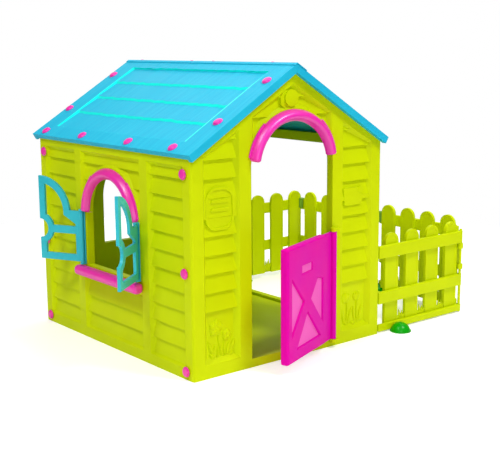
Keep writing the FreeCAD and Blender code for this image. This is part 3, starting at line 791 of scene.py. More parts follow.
@dataclass
class WallPot:
    """A raised flower-pot shape with a handle stub at each side, on the boards of the right pier."""

    low: float = 546.0
    high: float = 614.0
    foot: tuple[float, float] = (732.0, 826.0)
    rim: tuple[float, float] = (724.0, 806.0)
    stub: tuple[float, float] = (718.0, 864.0)
    stub_z: tuple[float, float] = (566.0, 582.0)
    face: float = 5.6
    back: float = 20.0
    corner: float = 9.0
    knob: tuple[float, float] = (12.0, 13.0)

    def build(self) -> bpy.types.Object:
        """Builds the pot and returns it."""
        pot = Bench.block((self.rim[0], self.face, self.low), (self.foot[1], self.back, self.high))
        Bench.slice(pot, (self.rim[1], 0, self.high), (1, 0, 0.55))
        Bench.slice(pot, (self.rim[0], 0, self.high), (-1, 0, -0.12))
        Bench.bevel(pot, runs_back, self.corner, 4)
        stub = Bench.block((self.stub[0], self.face + 1, self.stub_z[0]),
                           (self.stub[1], self.back, self.stub_z[1]))
        Bench.cut(pot, stub, "UNION")
        x, z = self.foot[1] - 8, self.high - 12
        knob = Bench.drum((x, self.face - 1, z), (x, self.back, z), *self.knob, 20)
        Bench.cut(pot, knob, "UNION")
        return pot


@dataclass
class DoorWall:
    """Door wall: arched doorway between clad piers, a clad gable with a boss, and relief on the piers."""

    house: House
    pitch: float = BOARD_PITCH
    first_line: float = 239.0
    pier: tuple[float, float] = (52.0, 210.0)
    pier_foot: float = 50.0
    pier_tops: tuple[float, float] = (786.0, 872.0)
    door_middle: float = 462.0
    door_half: float = 199.0
    spring: float = 722.0
    threshold: float = 32.0
    gable_half: float = 192.0
    gable_shoulder: float = 912.0
    gable_apex: float = 1021.0
    arch_clear: float = 212.0
    depth: float = CLADDING_DEEP
    post: float = 42.0
    post_start: float = 31.1
    post_z: tuple[float, float] = (20.1, 770.0)
    boss: tuple[float, float] = (454.0, 971.0)
    boss_radius: float = 31.0
    low_lines_to: float = 360.0

    def ridge_rise(self) -> float:
        """Returns how much higher the wall is at its middle than at its ends."""
        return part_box("rear_wall")[1].z / MM - self.house.eave

    def lines(self, top: float) -> tuple[float, ...]:
        """Returns the heights of the board lines below a height."""
        count = int((top - self.first_line) // self.pitch) + 1
        return tuple(self.first_line + i * self.pitch for i in range(count))

    def blank(self) -> bpy.types.Object:
        """Builds the plain gable wall with its posts and returns it."""
        wall = WallBlank(self.house.width, self.house.eave, ridge_rise=self.ridge_rise()).build()
        for x in (self.post_start, self.house.width - self.post):
            post = Bench.block((x, 30, self.post_z[0]),
                               (x + self.post - self.post_start, self.post, self.post_z[1]))
            Bench.cut(wall, post, "UNION")
        return wall

    def pier_outline(self) -> Outline:
        """Returns the left pier's recess, with its sloping top."""
        (left, right), foot, (low, high) = self.pier, self.pier_foot, self.pier_tops
        return [(left, foot), (right, foot), (right, high), (left, low)]

    def mirrored(self, outline: Outline) -> Outline:
        """Returns an outline on the other side of the wall's middle."""
        return [(self.house.width - x, z) for x, z in reversed(outline)]

    def clad(self, wall: bpy.types.Object) -> None:
        """Cuts the clad pier recesses into the wall."""
        boards = Boards(self.lines(self.pier_tops[1]), from_foot=False)
        for outline in (self.pier_outline(), self.mirrored(self.pier_outline())):
            Bench.cut(wall, recess_tool(outline, self.depth, boards=boards))

    def gable_tool(self, foot: float) -> bpy.types.Object:
        """Makes the solid that leaves the clad gable recess above a height, and returns it."""
        middle, half, shoulder = self.door_middle, self.gable_half, self.gable_shoulder
        outline = [(middle - half, foot), (middle + half, foot), (middle + half, shoulder),
                   (middle, self.gable_apex), (middle - half, shoulder)]
        lines = tuple(z for z in self.lines(self.gable_apex) if z > foot)
        return recess_tool(outline, self.depth, boards=Boards(lines))

    def clad_gable(self, wall: bpy.types.Object) -> None:
        """Cuts the clad gable recess of the door wall, clear of the door's arch."""
        middle, arch = self.door_middle, self.arch_clear
        tool = self.gable_tool(self.spring)
        Bench.cut(tool, Bench.drum((middle, -6, self.spring), (middle, self.depth + 6, self.spring),
                                   arch - 6, arch + self.depth + 6, 96))
        Bench.cut(wall, tool)

    def build_front(self) -> None:
        """Builds the door wall with its relief."""
        wall = self.blank()
        Bench.cut(wall, arch_tool(self.door_middle, self.door_half, self.spring, self.threshold, *THROUGH))
        self.clad(wall)
        self.clad_gable(wall)
        x, z = self.boss
        disc = Bench.drum((x, -2.6, z), (x, self.depth + 1, z), self.boss_radius, segments=40)
        Bench.cut(wall, disc, "UNION")
        x, z = x - 14, z - 5
        moon = Bench.drum((x, 3.5, z), (x, self.depth + 1, z), self.boss_radius + 3, segments=40)
        Bench.cut(wall, moon, "UNION")
        Bench.cut(wall, WallPlaque().build(), "UNION")
        Bench.cut(wall, WallPot().build(), "UNION")
        relief = Relief(self.depth)
        beds = [*relief.rose_bed(), *relief.tulip_bed()]
        self.house.stand(wall, Facing.FRONT, "door_wall_panel", "front_wall", beds)

    def build_rear(self) -> None:
        """Builds the rear wall, clad as the door wall is, with an arched window."""
        window = WindowWall(self.house)
        wall = self.blank()
        Bench.cut(wall, arch_tool(self.door_middle, window.half, window.spring, window.sill, *THROUGH))
        self.clad(wall)
        low, high = window.bay_z
        Bench.cut(wall, self.gable_tool(high))
        half, middle = self.gable_half, self.door_middle
        outline = oblong(middle - half, low, middle + half, window.frame_z)
        lines = tuple(z - self.pitch * 2 for z in self.lines(self.low_lines_to))
        Bench.cut(wall, recess_tool(outline, self.depth, boards=Boards(lines)))
        self.house.stand(wall, Facing.REAR, "rear_wall_panel", "rear_wall")


@dataclass
class WindowWall:
    """The two long walls: clad bays between pilasters, one wall with the window, one with a doorway."""

    house: House
    middle: float = 553.0
    half: float = 182.0
    spring: float = 510.0
    sill: float = 303.0
    seat_radius: float = 199.0
    frame_z: float = 259.0
    bay_z: tuple[float, float] = (42.0, 757.0)
    bays: tuple[tuple[float, float], ...] = ((50.0, 293.0), (339.0, 760.0), (808.0, 1030.0))
    doorway: tuple[float, float] = (270.0, 810.0)
    garden_bays: tuple[tuple[float, float], ...] = ((50.0, 225.0), (855.0, 1030.0))
    threshold: float = 32.0
    first_line: float = 108.7
    pitch: float = BOARD_PITCH
    depth: float = CLADDING_DEEP

    def lines(self, low: float, high: float) -> tuple[float, ...]:
        """Returns the heights of the board lines between two heights."""
        every = [self.first_line + i * self.pitch for i in range(11)]
        return tuple(z for z in every if low + 12 < z < high - 12)

    def clad(self, wall: bpy.types.Object, x0: float, z0: float, x1: float, z1: float,
             around: Optional[bpy.types.Object] = None) -> None:
        """Cuts one clad bay.

        Args:
            wall: The wall.
            x0: Left side of the bay.
            z0: Foot of the bay.
            x1: Right side of the bay.
            z1: Top of the bay.
            around: A solid that the bay stays clear of.
        """
        tool = recess_tool(oblong(x0, z0, x1, z1), self.depth, boards=Boards(self.lines(z0, z1)))
        if around is not None:
            Bench.cut(tool, around)
        Bench.cut(wall, tool)

    def build_window_side(self) -> None:
        """Builds the window wall."""
        wall = WallBlank(self.house.length, self.house.eave).build()
        Bench.cut(wall, arch_tool(self.middle, self.half, self.spring, self.sill, *THROUGH))
        low, high = self.bay_z
        for x0, x1 in (self.bays[0], self.bays[2]):
            self.clad(wall, x0, low, x1, high)
        x0, x1 = self.bays[1]
        self.clad(wall, x0, low, x1, self.frame_z)
        seat = Bench.drum((self.middle, -6, self.spring), (self.middle, self.depth + 6, self.spring),
                          self.seat_radius - 6, self.seat_radius + self.depth + 6, 96)
        self.clad(wall, x0, self.spring, x1, high, seat)
        self.house.stand(wall, Facing.LEFT, "window_wall_panel", "left_wall")

    def build_garden_side(self) -> None:
        """Builds the garden wall with its wide doorway."""
        wall = WallBlank(self.house.length, self.house.eave).build()
        low, high = self.bay_z
        (x0, x1), (front, back) = self.doorway, THROUGH
        Bench.cut(wall, Bench.block((x0, front, self.threshold), (x1, back, high)))
        for x0, x1 in self.garden_bays:
            self.clad(wall, x0, low, x1, high)
        self.house.stand(wall, Facing.RIGHT, "garden_wall_panel", "right_wall")


# Roof


@dataclass
class Roof:
    """Two like roof panels with a recessed field of shakes, a ridge strip and rows of bolt caps."""

    house: House
    over_x: float = 19.0
    over_y: float = 21.0
    eave_z: float = 800.0
    ridge_z: float = 1094.0
    skin: float = 14.0
    lip: float = 28.0
    lip_wide: float = 20.0
    eave_lip: tuple[float, float] = (8.0, 19.0)
    field_v: tuple[float, float] = (80.0, 990.0)
    steps: tuple[float, ...] = (68.0, 173.0, 283.0, 396.0, 509.0)
    step_deep: float = 7.5
    step_shallow: float = 2.0
    riser: float = 9.0
    side_draft: float = 1.4
    wave_mm: float = 40.0
    wave_deep: float = 13.0

    def slope(self) -> float:
        """Returns the slope's angle."""
        return math.atan2(self.ridge_z - self.eave_z, self.house.width / 2 + self.over_x)

    def place(self) -> Matrix:
        """Returns the move from the flat panel, X up the slope and its face at Z = 0, to the left slope."""
        lean = -math.degrees(self.slope())
        return self.house.frame() @ move(-self.over_x, 0, self.eave_z) @ turn(lean, "Y")

    def blank(self) -> bpy.types.Object:
        """Builds the plain panel with its lips, lying flat, and returns it."""
        low, high = -self.over_y, self.house.length + self.over_y
        long = (self.house.width / 2 + self.over_x) / math.cos(self.slope()) + 20
        panel = Bench.block((0, low, -self.skin), (long, high, 0))
        for y0, y1 in ((low, low + self.lip_wide), (high - self.lip_wide, high)):
            Bench.cut(panel, Bench.block((0, y0, -self.lip), (long, y1, -1)), "UNION")
        wide, deep = self.eave_lip
        Bench.cut(panel, Bench.block((0, low, -deep), (wide, high, -1)), "UNION")
        ridge = (self.house.width / 2 + self.over_x - 0.1) / math.cos(self.slope())
        Bench.slice(panel, (ridge, 0, 0), (math.cos(self.slope()), 0, -math.sin(self.slope())))
        return panel

    def field_tool(self) -> bpy.types.Object:
        """Makes the solid that leaves the field of shakes, with uneven lower edges, and returns it."""
        low, high = self.field_v
        first, last = self.steps[0], self.steps[-1]
        tool = Bench.block((first, low, -self.step_deep), (last, high, 4))
        for u in self.steps[1:-1]:
            for side in (-0.2, 0.2):
                Bench.slice(tool, (u + side, 0, 0), (1, 0, 0), drop=False)
        Bench.pick(tool, Pick.EDGE, runs_back)
        bpy.ops.mesh.subdivide(number_cuts=64)
        Bench.done()
        for v, way in ((low, -1), (high, 1)):
            Bench.slice(tool, (0, v, 0), (0, way, -self.side_draft))
        rise = self.step_deep - self.step_shallow
        Bench.shift(tool, lambda p, n: p.z < -1 and abs(p.x - first) < 0.2, (0, 0, rise))
        points = tool.data.vertices
        above = [v.index for v in points
                 if v.co.z < -MM and any(abs(v.co.x / MM - u - 0.2) < 0.1 for u in self.steps[1:-1])]
        tool.vertex_groups.new(name="heads of the risers").add(above, 1.0, "REPLACE")
        tool.vertex_groups.new(name="edges").add([v.index for v in points], 1.0, "REPLACE")
        hand = bpy.data.textures.new("hand-split edge", "CLOUDS")
        hand.noise_scale = self.wave_mm * MM
        Bench.push(tool, "edges", "X", self.wave_deep, hand)
        Bench.push(tool, "heads of the risers", "X", self.riser)
        Bench.push(tool, "heads of the risers", "Z", rise)
        return tool

    def paint_light_on_risers(self, panel: bpy.types.Object) -> None:
        """Paints light on the field's risers and its side steps by giving them the brighter second finish,
        with the panel still lying flat.
        """
        low, high = self.field_v
        first, last = self.steps[0] - 12, self.steps[-1] + 12
        for face in panel.data.polygons:
            x, y, z = face.center / MM
            inside = first < x < last and low - 4 < y < high + 4 and -self.step_deep - 1 < z < 0.2
            # Every face tilted off the flat field gets the painted light.
            if inside and face.normal.z < 0.985:
                face.material_index = 1

    def build_panels(self) -> None:
        """Builds both panels."""
        panel = self.blank()
        Bench.cut(panel, self.field_tool())
        Bench.weld(panel)
        Bench.soften(panel, 1.5, angle=28)
        # The second finish is the risers' painted light.
        for finish in (ROOF_BLUE, ROOF_RISER_PAINTED_LIGHT):
            panel.data.materials.append(PAINTS.get(finish))
        self.paint_light_on_risers(panel)
        Bench.set_down(panel, self.place())
        Bench.smooth(panel)
        centre = self.house.frame() @ move(self.house.width / 2, self.house.length / 2, 0)
        twin = Bench.copy(panel, centre @ turn(180) @ centre.inverted())
        hand_over(panel, "roof_panel_left", Body.HOUSE, [ROOF_BLUE, ROOF_RISER_PAINTED_LIGHT], ["roof_left"])
        hand_over(twin, "roof_panel_right", Body.HOUSE, [ROOF_BLUE, ROOF_RISER_PAINTED_LIGHT], ["roof_right"])

    def build_ridge(self) -> None:
        """Builds the strip over the seam between the panels."""
        low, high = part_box("ridge_cap")
        left, right = 12.0, 46.0
        thick = 3.4
        top, fall = self.ridge_z + 0.1, math.tan(self.slope())
        length = (high.y - low.y) / MM
        strip = Bench.block((-left, 0, -60), (right, length, 60))
        Bench.slice(strip, (0, 0, 0), (1, 0, 0), drop=False)
        Bench.shift(strip, lambda p, n: p.z > 0, (0, 0, thick - 60))
        Bench.shift(strip, lambda p, n: p.z < -10, (0, 0, 60))
        Bench.shift(strip, lambda p, n: p.x < -1, (0, 0, -left * fall))
        Bench.shift(strip, lambda p, n: p.x > 1, (0, 0, -right * fall))
        Bench.weld(strip)
        Bench.soften(strip, 1.3, 3)
        Bench.smooth(strip)
        middle = self.house.corner.x + self.house.width / 2 * MM
        Bench.set_down(strip, Matrix.Translation((middle, low.y, top * MM)))
        hand_over(strip, "ridge_strip", Body.HOUSE, [ROOF_BLUE], ["ridge_cap"])


@dataclass
class BoltCap:
    """Round push-on cap: a thin skirt, a domed crown and a shallow dimple."""

    roof: Roof
    radius: float = 19.0
    high: float = 8.0
    skirt: float = 3.0
    crown: tuple[tuple[float, float], ...] = ((2.2, 0.0), (0.8, 3.4), (2.6, 1.3), (4.2, 0.3))
    above_ridge: float = 3.5
    into_panel: float = 0.1

    def build(self) -> bpy.types.Object:
        """Builds one cap standing on Z = 0 and returns it."""
        cap = Bench.drum((0, 0, 0), (0, 0, self.skirt), self.radius, segments=28)
        for inset, rise in self.crown:
            Bench.pick(cap, Pick.FACE, lambda p, n: n.z > 0.9 and math.hypot(p.x, p.y) < 0.5)
            bpy.ops.mesh.inset(thickness=inset * MM, depth=0)
            bpy.ops.transform.translate(value=(0, 0, rise * MM))
            Bench.done()
        Bench.soften(cap, 0.7, 2, 25)
        Bench.smooth(cap, 50)
        return cap

    def build_all(self) -> None:
        """Puts a cap on every bolt of the frame."""
        master = self.build()
        for name in sorted(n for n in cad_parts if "bolt" in n):
            side = -1 if "left" in name else 1
            places = self.on_wall(name, side) if name.startswith("wall") else [self.on_roof(name, side)]
            caps = [Bench.copy(master, place) for place in places]
            piece = Bench.join(caps) if len(caps) > 1 else caps[0]
            hand_over(piece, name.replace("bolt", "bolt_cap"), Body.HOUSE, [PINK], [name])
        bpy.data.objects.remove(master)

    def on_wall(self, name: str, side: int) -> list[Matrix]:
        """Returns where a wall bolt node's caps stand.

        Args:
            name: The CAD node. On the right it holds three bolts, level with the first three on the left.
            side: -1 on the left wall and 1 on the right one.

        Returns:
            One matrix for each cap, its Z along the bolt.
        """
        low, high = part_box(name)
        x = (high.x if side > 0 else low.x) - side * self.high * MM
        alike = [name] if side < 0 else ["wall_bolt_left_%d" % i for i in (1, 2, 3)]
        levels = [(a.z + b.z) / 2 for a, b in (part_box(bolt) for bolt in alike)]
        return [Matrix.Translation((x, (low.y + high.y) / 2, z)) @ turn(side * 90, "Y") for z in levels]

    def on_roof(self, name: str, side: int) -> Matrix:
        """Returns where a roof bolt's cap stands, squarely on the panel's face.

        Args:
            name: The CAD node. Its box reaches a skirt's radius down the slope from the cap's middle.
            side: -1 on the left panel and 1 on the right one.

        Returns:
            The cap's matrix.
        """
        low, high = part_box(name)
        lean = self.roof.slope()
        x = (high.x if side > 0 else low.x) - side * self.radius * math.cos(lean) * MM
        middle = self.roof.house.corner.x + self.roof.house.width / 2 * MM
        z = (self.roof.ridge_z + 0.1) * MM - abs(x - middle) * math.tan(lean)
        z += (self.above_ridge if name.startswith("ridge") else -self.into_panel) * MM
        return Matrix.Translation((x, (low.y + high.y) / 2, z)) @ turn(side * math.degrees(lean), "Y")


# Trims


@dataclass
class ArchTrim:
    """A fat half-round arch with a thin flange against the wall."""

    radius: float
    wide: float
    deep: float
    end_deg: float
    dome: tuple[tuple[float, float], ...] = ((1.5, 3.2), (3.0, 2.6), (4.5, 1.4))
    foot_wide: float = 8.0
    foot_deep: float = 6.0
    foot_to_deg: float = 50.0
    flange: float = 2.0

    def build(self) -> bpy.types.Object:
        """Builds the arch about its own centre, standing out to -Y, and returns it."""
        middle, half = self.radius - self.wide / 2, self.wide / 2
        Bench.start()
        bpy.ops.mesh.primitive_circle_add(vertices=28, radius=1, fill_type="NGON",
                                          location=(middle * MM, 0, 0))
        arch = bpy.context.object
        arch.scale = ((half - self.flange) * MM, self.deep * MM, 1)
        bpy.ops.object.transform_apply(location=True, rotation=True, scale=True)
        Bench.slice(arch, (0, 0, 0), (0, 1, 0))
        # Widen the last points into the flange.
        for side in (-1, 1):
            edge = middle + side * (half - self.flange)
            Bench.shift(arch, lambda p, n: abs(p.x - edge) < 0.6 and p.y > -8, (side * self.flange, 0, 0))
        Bench.pick(arch, Pick.FACE, lambda p, n: True)
        sweep = math.radians(180 - 2 * self.end_deg)
        bpy.ops.transform.rotate(value=math.radians(self.end_deg), orient_axis="Y", center_override=(0, 0, 0))
        Bench.done()
        Bench.pick(arch, Pick.FACE, lambda p, n: True)
        bpy.ops.mesh.spin(steps=64, angle=sweep, center=(0, 0, 0), axis=(0, 1, 0))
        Bench.done()
        Bench.weld(arch, 0.05)
        self.round_ends(arch)
        return arch

    def round_ends(self, arch: bpy.types.Object) -> None:
        """Swells both flat ends of the arch into low domes."""
        lean = math.radians(self.end_deg)
        for side in (-1, 1):
            end = Vector((side * math.sin(lean), 0, -math.cos(lean)))
            for inset, push in self.dome:
                Bench.pick(arch, Pick.FACE, lambda p, n: n.dot(end) > 0.995 and p.z < 60 and p.x * side > 0)
                bpy.ops.mesh.inset(thickness=inset * MM, depth=push * MM)
                Bench.done()

    def widen_foot(self, side: int) -> bpy.types.Object:
        """Makes the thin flange outside one lower leg, on the side given by -1 or 1, and returns it."""
        foot = Bench.drum((0, -self.foot_deep, 0), (0, -0.05, 0), self.radius + self.foot_wide, segments=96)
        Bench.cut(foot, Bench.drum((0, -9, 0), (0, 1, 0), self.radius - 6, segments=96))
        for angle, way in ((self.end_deg + 1, 1), (self.foot_to_deg, -1)):
            lean = math.radians(angle)
            Bench.slice(foot, (0, 0, 0), (way * side * math.sin(lean), 0, -way * math.cos(lean)))
        Bench.weld(foot)
        Bench.soften(foot, 1.8, 3)
        return foot

    def fit(self, arch: bpy.types.Object) -> bpy.types.Object:
        """Rounds and shades the arch, adds its feet and returns it."""
        Bench.soften(arch, 1.6, 3, 50)
        whole = Bench.join([arch, self.widen_foot(-1), self.widen_foot(1)])
        Bench.smooth(whole, 50)
        return whole


@dataclass
class Trims:
    """The pink arches over door and window and the rail under the window."""

    house: House
    door: tuple[float, float] = (462.0, 722.0)
    window: tuple[float, float] = (527.0, 510.0)

    def build(self) -> None:
        """Builds the three trims."""
        over_door = ArchTrim(209.0, 43.0, 30.0, 12.0)
        arch = over_door.fit(over_door.build())
        Bench.set_down(arch, self.house.frame() @ move(self.door[0], 0, self.door[1]))
        hand_over(arch, "door_arch", Body.HOUSE, [PINK], ["door_arch_trim"])
        over_window = ArchTrim(195.0, 43.0, 26.0, 6.0)
        arch = over_window.fit(over_window.build())
        Bench.set_down(arch, self.house.frame() @ move(0, self.window[0], self.window[1]) @ turn(-90))
        hand_over(arch, "window_arch", Body.HOUSE, [PINK], ["window_arch_trim"])
        self.build_sill()

    def build_sill(self) -> None:
        """Builds the rounded rail under the window, with a thumb groove along its top."""
        low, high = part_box("window_sill")
        size = (high - low) / MM
        rail = Bench.block((0, 0, 0), size)
        Bench.bevel(rail, lambda p, n: runs_back(p, n) and p.x < 1, 17, 8)
        Bench.soften(rail, 15.0, 6, 40)
        x, z = size.x * 0.62, size.z + 11
        groove = Bench.drum((x, -5, z), (x, size.y + 5, z), 14, segments=32)
        Bench.slice(groove, (0, 22, 0), (0, -1, 0))
        Bench.slice(groove, (0, size.y - 22, 0), (0, 1, 0))
        Bench.cut(rail, groove)
        Bench.weld(rail)
        Bench.soften(rail, 1.5, 2, 40)
        Bench.smooth(rail, 50)
        Bench.set_down(rail, Matrix.Translation(low))
        hand_over(rail, "window_rail", Body.HOUSE, [PINK], ["window_sill"])


# Door


@dataclass
class HalfDoor:
    """Blow-moulded half door: a thick leaf with a cross brace between thin webs, and a hinge plate."""

    house: House
    axis: tuple[float, float] = (656.0, -14.0)
    open_deg: float = 22.0
    leaf: tuple[float, float] = (72.0, 391.0)
    leaf_y: tuple[float, float] = (-17.0, 16.0)
    foot: float = 36.5
    head: float = 459.0
    plate_y: tuple[float, float] = (-10.0, -1.0)
    barrel: float = 12.0
    pin: float = 6.2
    edge: float = 8.5
    web_deep: float = 7.0
    slot_deep: float = 4.5
    slot: tuple[float, float, float, float] = (193.0, 349.0, 279.0, 381.0)
    panels: tuple[Outline, ...] = (
        ((361.0, 128.0), (361.0, 351.0), (257.0, 245.0)),
        ((97.0, 126.0), (205.0, 243.0), (144.0, 312.0), (97.0, 300.0)),
        ((116.0, 81.0), (322.0, 79.0), (230.0, 203.0)),
    )

    def build(self) -> None:
        """Builds the door in its open place."""
        axis_x, _ = self.axis
        near, far = self.leaf
        front, back = self.leaf_y
        leaf = Bench.block((axis_x - far, front, self.foot), (axis_x - near, back, self.head))
        low, high = self.foot + 1, self.head - 1
        Bench.bevel(leaf, lambda p, n: p.x < axis_x - far + 1 or p.z > high or p.z < low, self.edge, 4)
        plate = Bench.block((axis_x - near - 4, self.plate_y[0], self.foot + 0.5),
                            (axis_x, self.plate_y[1], self.head - 0.5))
        Bench.cut(leaf, plate, "UNION")
        tube = Bench.drum((*self.axis, self.foot + 0.2), (*self.axis, self.head - 0.2), self.barrel,
                          segments=32)
        Bench.cut(leaf, tube, "UNION")
        bore = Bench.drum((*self.axis, self.foot - 5), (*self.axis, self.head + 5), self.pin, segments=32)
        Bench.cut(leaf, bore)
        for outline in self.panels:
            self.sink(leaf, [(axis_x - u, z) for u, z in outline])
        u0, z0, u1, z1 = self.slot
        self.sink(leaf, oblong(axis_x - u1, z0, axis_x - u0, z1), self.slot_deep)
        Bench.weld(leaf)
        Bench.soften(leaf, 1.6, 2, 32)
        # The second finish is the webs' painted light.
        for finish in (DOOR_PINK, WEB_PINK_PAINTED_LIGHT):
            leaf.data.materials.append(PAINTS.get(finish))
        self.paint_light_on_webs(leaf)
        Bench.smooth(leaf)
        hinge = move(*self.axis, 0)
        Bench.set_down(leaf, self.house.frame() @ hinge @ turn(self.open_deg) @ hinge.inverted())
        hand_over(leaf, "half_door", Body.DOOR, [DOOR_PINK, WEB_PINK_PAINTED_LIGHT], ["door_leaf"])

    def sink(self, leaf: bpy.types.Object, corners: Outline, deep: Optional[float] = None) -> None:
        """Sinks one panel into both faces of the leaf."""
        front, back = self.leaf_y
        area = sum(x0 * z1 - x1 * z0 for (x0, z0), (x1, z1) in zip(corners, [*corners[1:], corners[0]]))
        ordered = list(corners) if area > 0 else list(reversed(corners))
        for place in (move(0, front, 0), move(0, back, 0) @ flip()):
            tool = recess_tool(ordered, deep or self.web_deep, 0.5)
            Bench.set_down(tool, place)
            Bench.cut(leaf, tool)

    def paint_light_on_webs(self, leaf: bpy.types.Object) -> None:
        """Paints light on the sunk panels' floors by giving them the paler finish, with the door still
        closed.
        """
        front, back = self.leaf_y
        axis_x, _ = self.axis
        for face in leaf.data.polygons:
            x, y, _ = face.center / MM
            on_leaf = axis_x - self.leaf[1] + 4 < x < axis_x - self.leaf[0] - 4
            # The floors of the sunk panels get the painted light.
            if on_leaf and front + 3 < y < back - 3 and abs(face.normal.y) > 0.95:
                face.material_index = 1


# Shutters


@dataclass
class Shutter:
    """One window shutter: two glassless panes, an arched head and a round notch in the meeting stile."""

    house: House
    side: int
    open_deg: float
    body: Body
    middle: float = 527.0
    axis_x: float = -14.0
    axis_from_middle: float = 197.0
    thick: float = 12.0
    foot: float = 315.0
    shoulder: float = 518.5
    arc: tuple[float, float] = (510.0, 142.0)
    stile: float = 27.0
    bar: tuple[float, float] = (425.0, 455.0)
    notch: float = 38.0
    barrel: float = 8.0
    pin: float = 3.1

    def build(self, name: str, node: str) -> None:
        """Builds the leaf closed, as the near one, then mirrors and opens it.

        Args:
            name: The piece's name.
            node: The CAD node that it stands for.
        """
        leaf = self.outline()
        self.cut_panes(leaf)
        Bench.weld(leaf)
        Bench.soften(leaf, 2.6, 3, 40)
        tube = Bench.drum((0, 0, self.foot), (0, 0, self.shoulder), self.barrel - 0.1, segments=24)
        Bench.soften(tube, 1.0, 2, 40)
        leaf = Bench.join([leaf, tube])
        Bench.smooth(leaf, 45)
        mirror = flip() if self.side < 0 else Matrix.Identity(4)
        hinge = move(self.axis_x, self.middle - self.side * self.axis_from_middle, 0)
        Bench.set_down(leaf, self.house.frame() @ hinge @ turn(self.side * self.open_deg) @ mirror)
        if self.side < 0:
            Bench.smooth(leaf, 45)
        hand_over(leaf, name, self.body, [TEAL], [node])

    def outline(self) -> bpy.types.Object:
        """Builds the leaf's plate, drawn closed with the hinge axis at the origin, and returns it."""
        far = self.axis_from_middle - 1.5
        x0, x1 = self.front(), self.front() + self.thick
        plate = Bench.block((x0, 0, self.foot), (x1, far, self.shoulder))
        height, radius = self.arc
        head = self.head(x0, x1, radius)
        Bench.slice(head, (0, far, 0), (0, 1, 0))
        Bench.slice(head, (0, 0, height), (0, 0, -1))
        Bench.cut(plate, head, "UNION")
        return plate

    def head(self, x0: float, x1: float, radius: float) -> bpy.types.Object:
        """Makes the round of the arched head between two faces, by its radius, and returns it."""
        centre = (self.axis_from_middle, self.arc[0])
        return Bench.drum((x0, *centre), (x1, *centre), radius, segments=96)

    def front(self) -> float:
        """Returns the plate's outer face, measured from the hinge axis."""
        return 2.0 - self.thick

    def cut_panes(self, plate: bpy.types.Object) -> None:
        """Cuts the two panes and the notch."""
        far = self.axis_from_middle - 1.5
        x0, x1 = self.front() - 3, self.front() + self.thick + 3
        eye = (far, sum(self.bar) / 2)
        height, radius = self.arc
        lower = Bench.block((x0, self.stile, self.foot + self.stile), (x1, far - self.stile, self.bar[0]))
        head = self.head(x0, x1, radius - self.stile)
        upper = Bench.block((x0 + 0.5, self.stile, self.bar[1]),
                            (x1 - 0.5, far - self.stile, height + radius))
        Bench.cut(upper, head, "INTERSECT")
        corner = Bench.block((x0 + 0.5, self.stile, self.bar[1]),
                             (x1 - 0.5, far - self.stile - 8, self.shoulder - 15))
        Bench.slice(corner, (0, self.stile, self.bar[1] + 10), (0, -0.62, 1))
        Bench.cut(upper, corner, "UNION")
        for pane in (lower, upper):
            ring = Bench.drum((x0 - 2, *eye), (x1 + 2, *eye), self.notch + self.stile - 3, segments=72)
            Bench.cut(pane, ring)
            Bench.cut(plate, pane)
        Bench.cut(plate, Bench.drum((x0, *eye), (x1, *eye), self.notch, segments=72))


# Fence


@dataclass
class Picket:
    """A round-topped picket, its back on Y = 0, with a shallow dished face."""

    wide: float = 78.0
    thick: float = 14.0
    top: float = 405.0
    foot: float = 5.0

    def build(self) -> bpy.types.Object:
        """Builds one picket and returns it."""
        half = self.wide / 2
        picket = arch_tool(0, half, self.top - half, self.foot, 0, self.thick, segments=40)
        for face in (0, 1):
            groove = arch_tool(0, half - 11, self.top - half, self.foot + 12, -3, 1.6, segments=40)
            if face:
                Bench.set_down(groove, move(0, self.thick, 0) @ flip())
            Bench.cut(picket, groove)
        Bench.weld(picket)
        Bench.soften(picket, 1.6, 2, 35)
        return picket


@dataclass
class FencePanel:
    """A panel of three rails with round-topped pickets behind, drawn along +X with its rails at Y = 0."""

    house: House
    name: str
    node: str
    body: Body
    long: float
    first: float
    pitch: float
    place: Matrix
    knuckles: bool = False
    rails: tuple[tuple[float, float], ...] = ((5.0, 34.0), (120.0, 170.0), (308.0, 360.0))
    rail_thick: float = 15.0
    pickets: int = 4

    def build(self, picket: bpy.types.Object) -> None:
        """Builds the panel from copies of a picket.

        Args:
            picket: The picket to copy.
        """
        parts = []
        for low, high in self.rails:
            rail = Bench.block((0, 0, low), (self.long, self.rail_thick, high))
            Bench.soften(rail, 3.2, 3, 40)
            parts.append(rail)
        for index in range(self.pickets):
            parts.append(Bench.copy(picket, move(self.first + index * self.pitch, self.rail_thick - 0.5, 0)))
        parts += self.leaves()
        if self.knuckles:
            parts += self.knuckle_ends()
        panel = Bench.join(parts)
        Bench.smooth(panel, 42)
        Bench.set_down(panel, self.house.frame() @ self.place)
        hand_over(panel, self.name, self.body, [LIME], [self.node])

    def leaves(self) -> list[bpy.types.Object]:
        """Makes blades of grass and buds along the bottom rail, and returns them."""
        relief = Relief(self.rail_thick + 6.0)
        parts = []
        for index in range(self.pickets - 1):
            gap = self.first + (index + 0.5) * self.pitch
            for shift, tall, lean in ((-15, 22, -18), (-5, 34, -6), (7, 28, 8), (17, 20, 22)):
                parts.append(relief.petal(gap + shift, 26 + tall * 0.5, 6.5, tall, lean, 4.5))
        return parts

    def knuckle_ends(self) -> list[bpy.types.Object]:
        """Makes the round knuckle at each rail's end, which the panel turns on, and returns them."""
        axis = self.long + 11.0
        parts = []
        for low, high in self.rails:
            knuckle = Bench.drum((axis, 12, low), (axis, 12, high), 12.0, segments=32)
            tongue = Bench.block((self.long - 6, 0.05, low + 0.1), (axis, self.rail_thick, high - 0.1))
            Bench.cut(knuckle, tongue, "UNION")
            Bench.cut(knuckle, Bench.drum((axis, 12, low - 3), (axis, 12, high + 3), 6.1, segments=32))
            Bench.weld(knuckle)
            Bench.soften(knuckle, 1.8, 2, 40)
            parts.append(knuckle)
        return parts


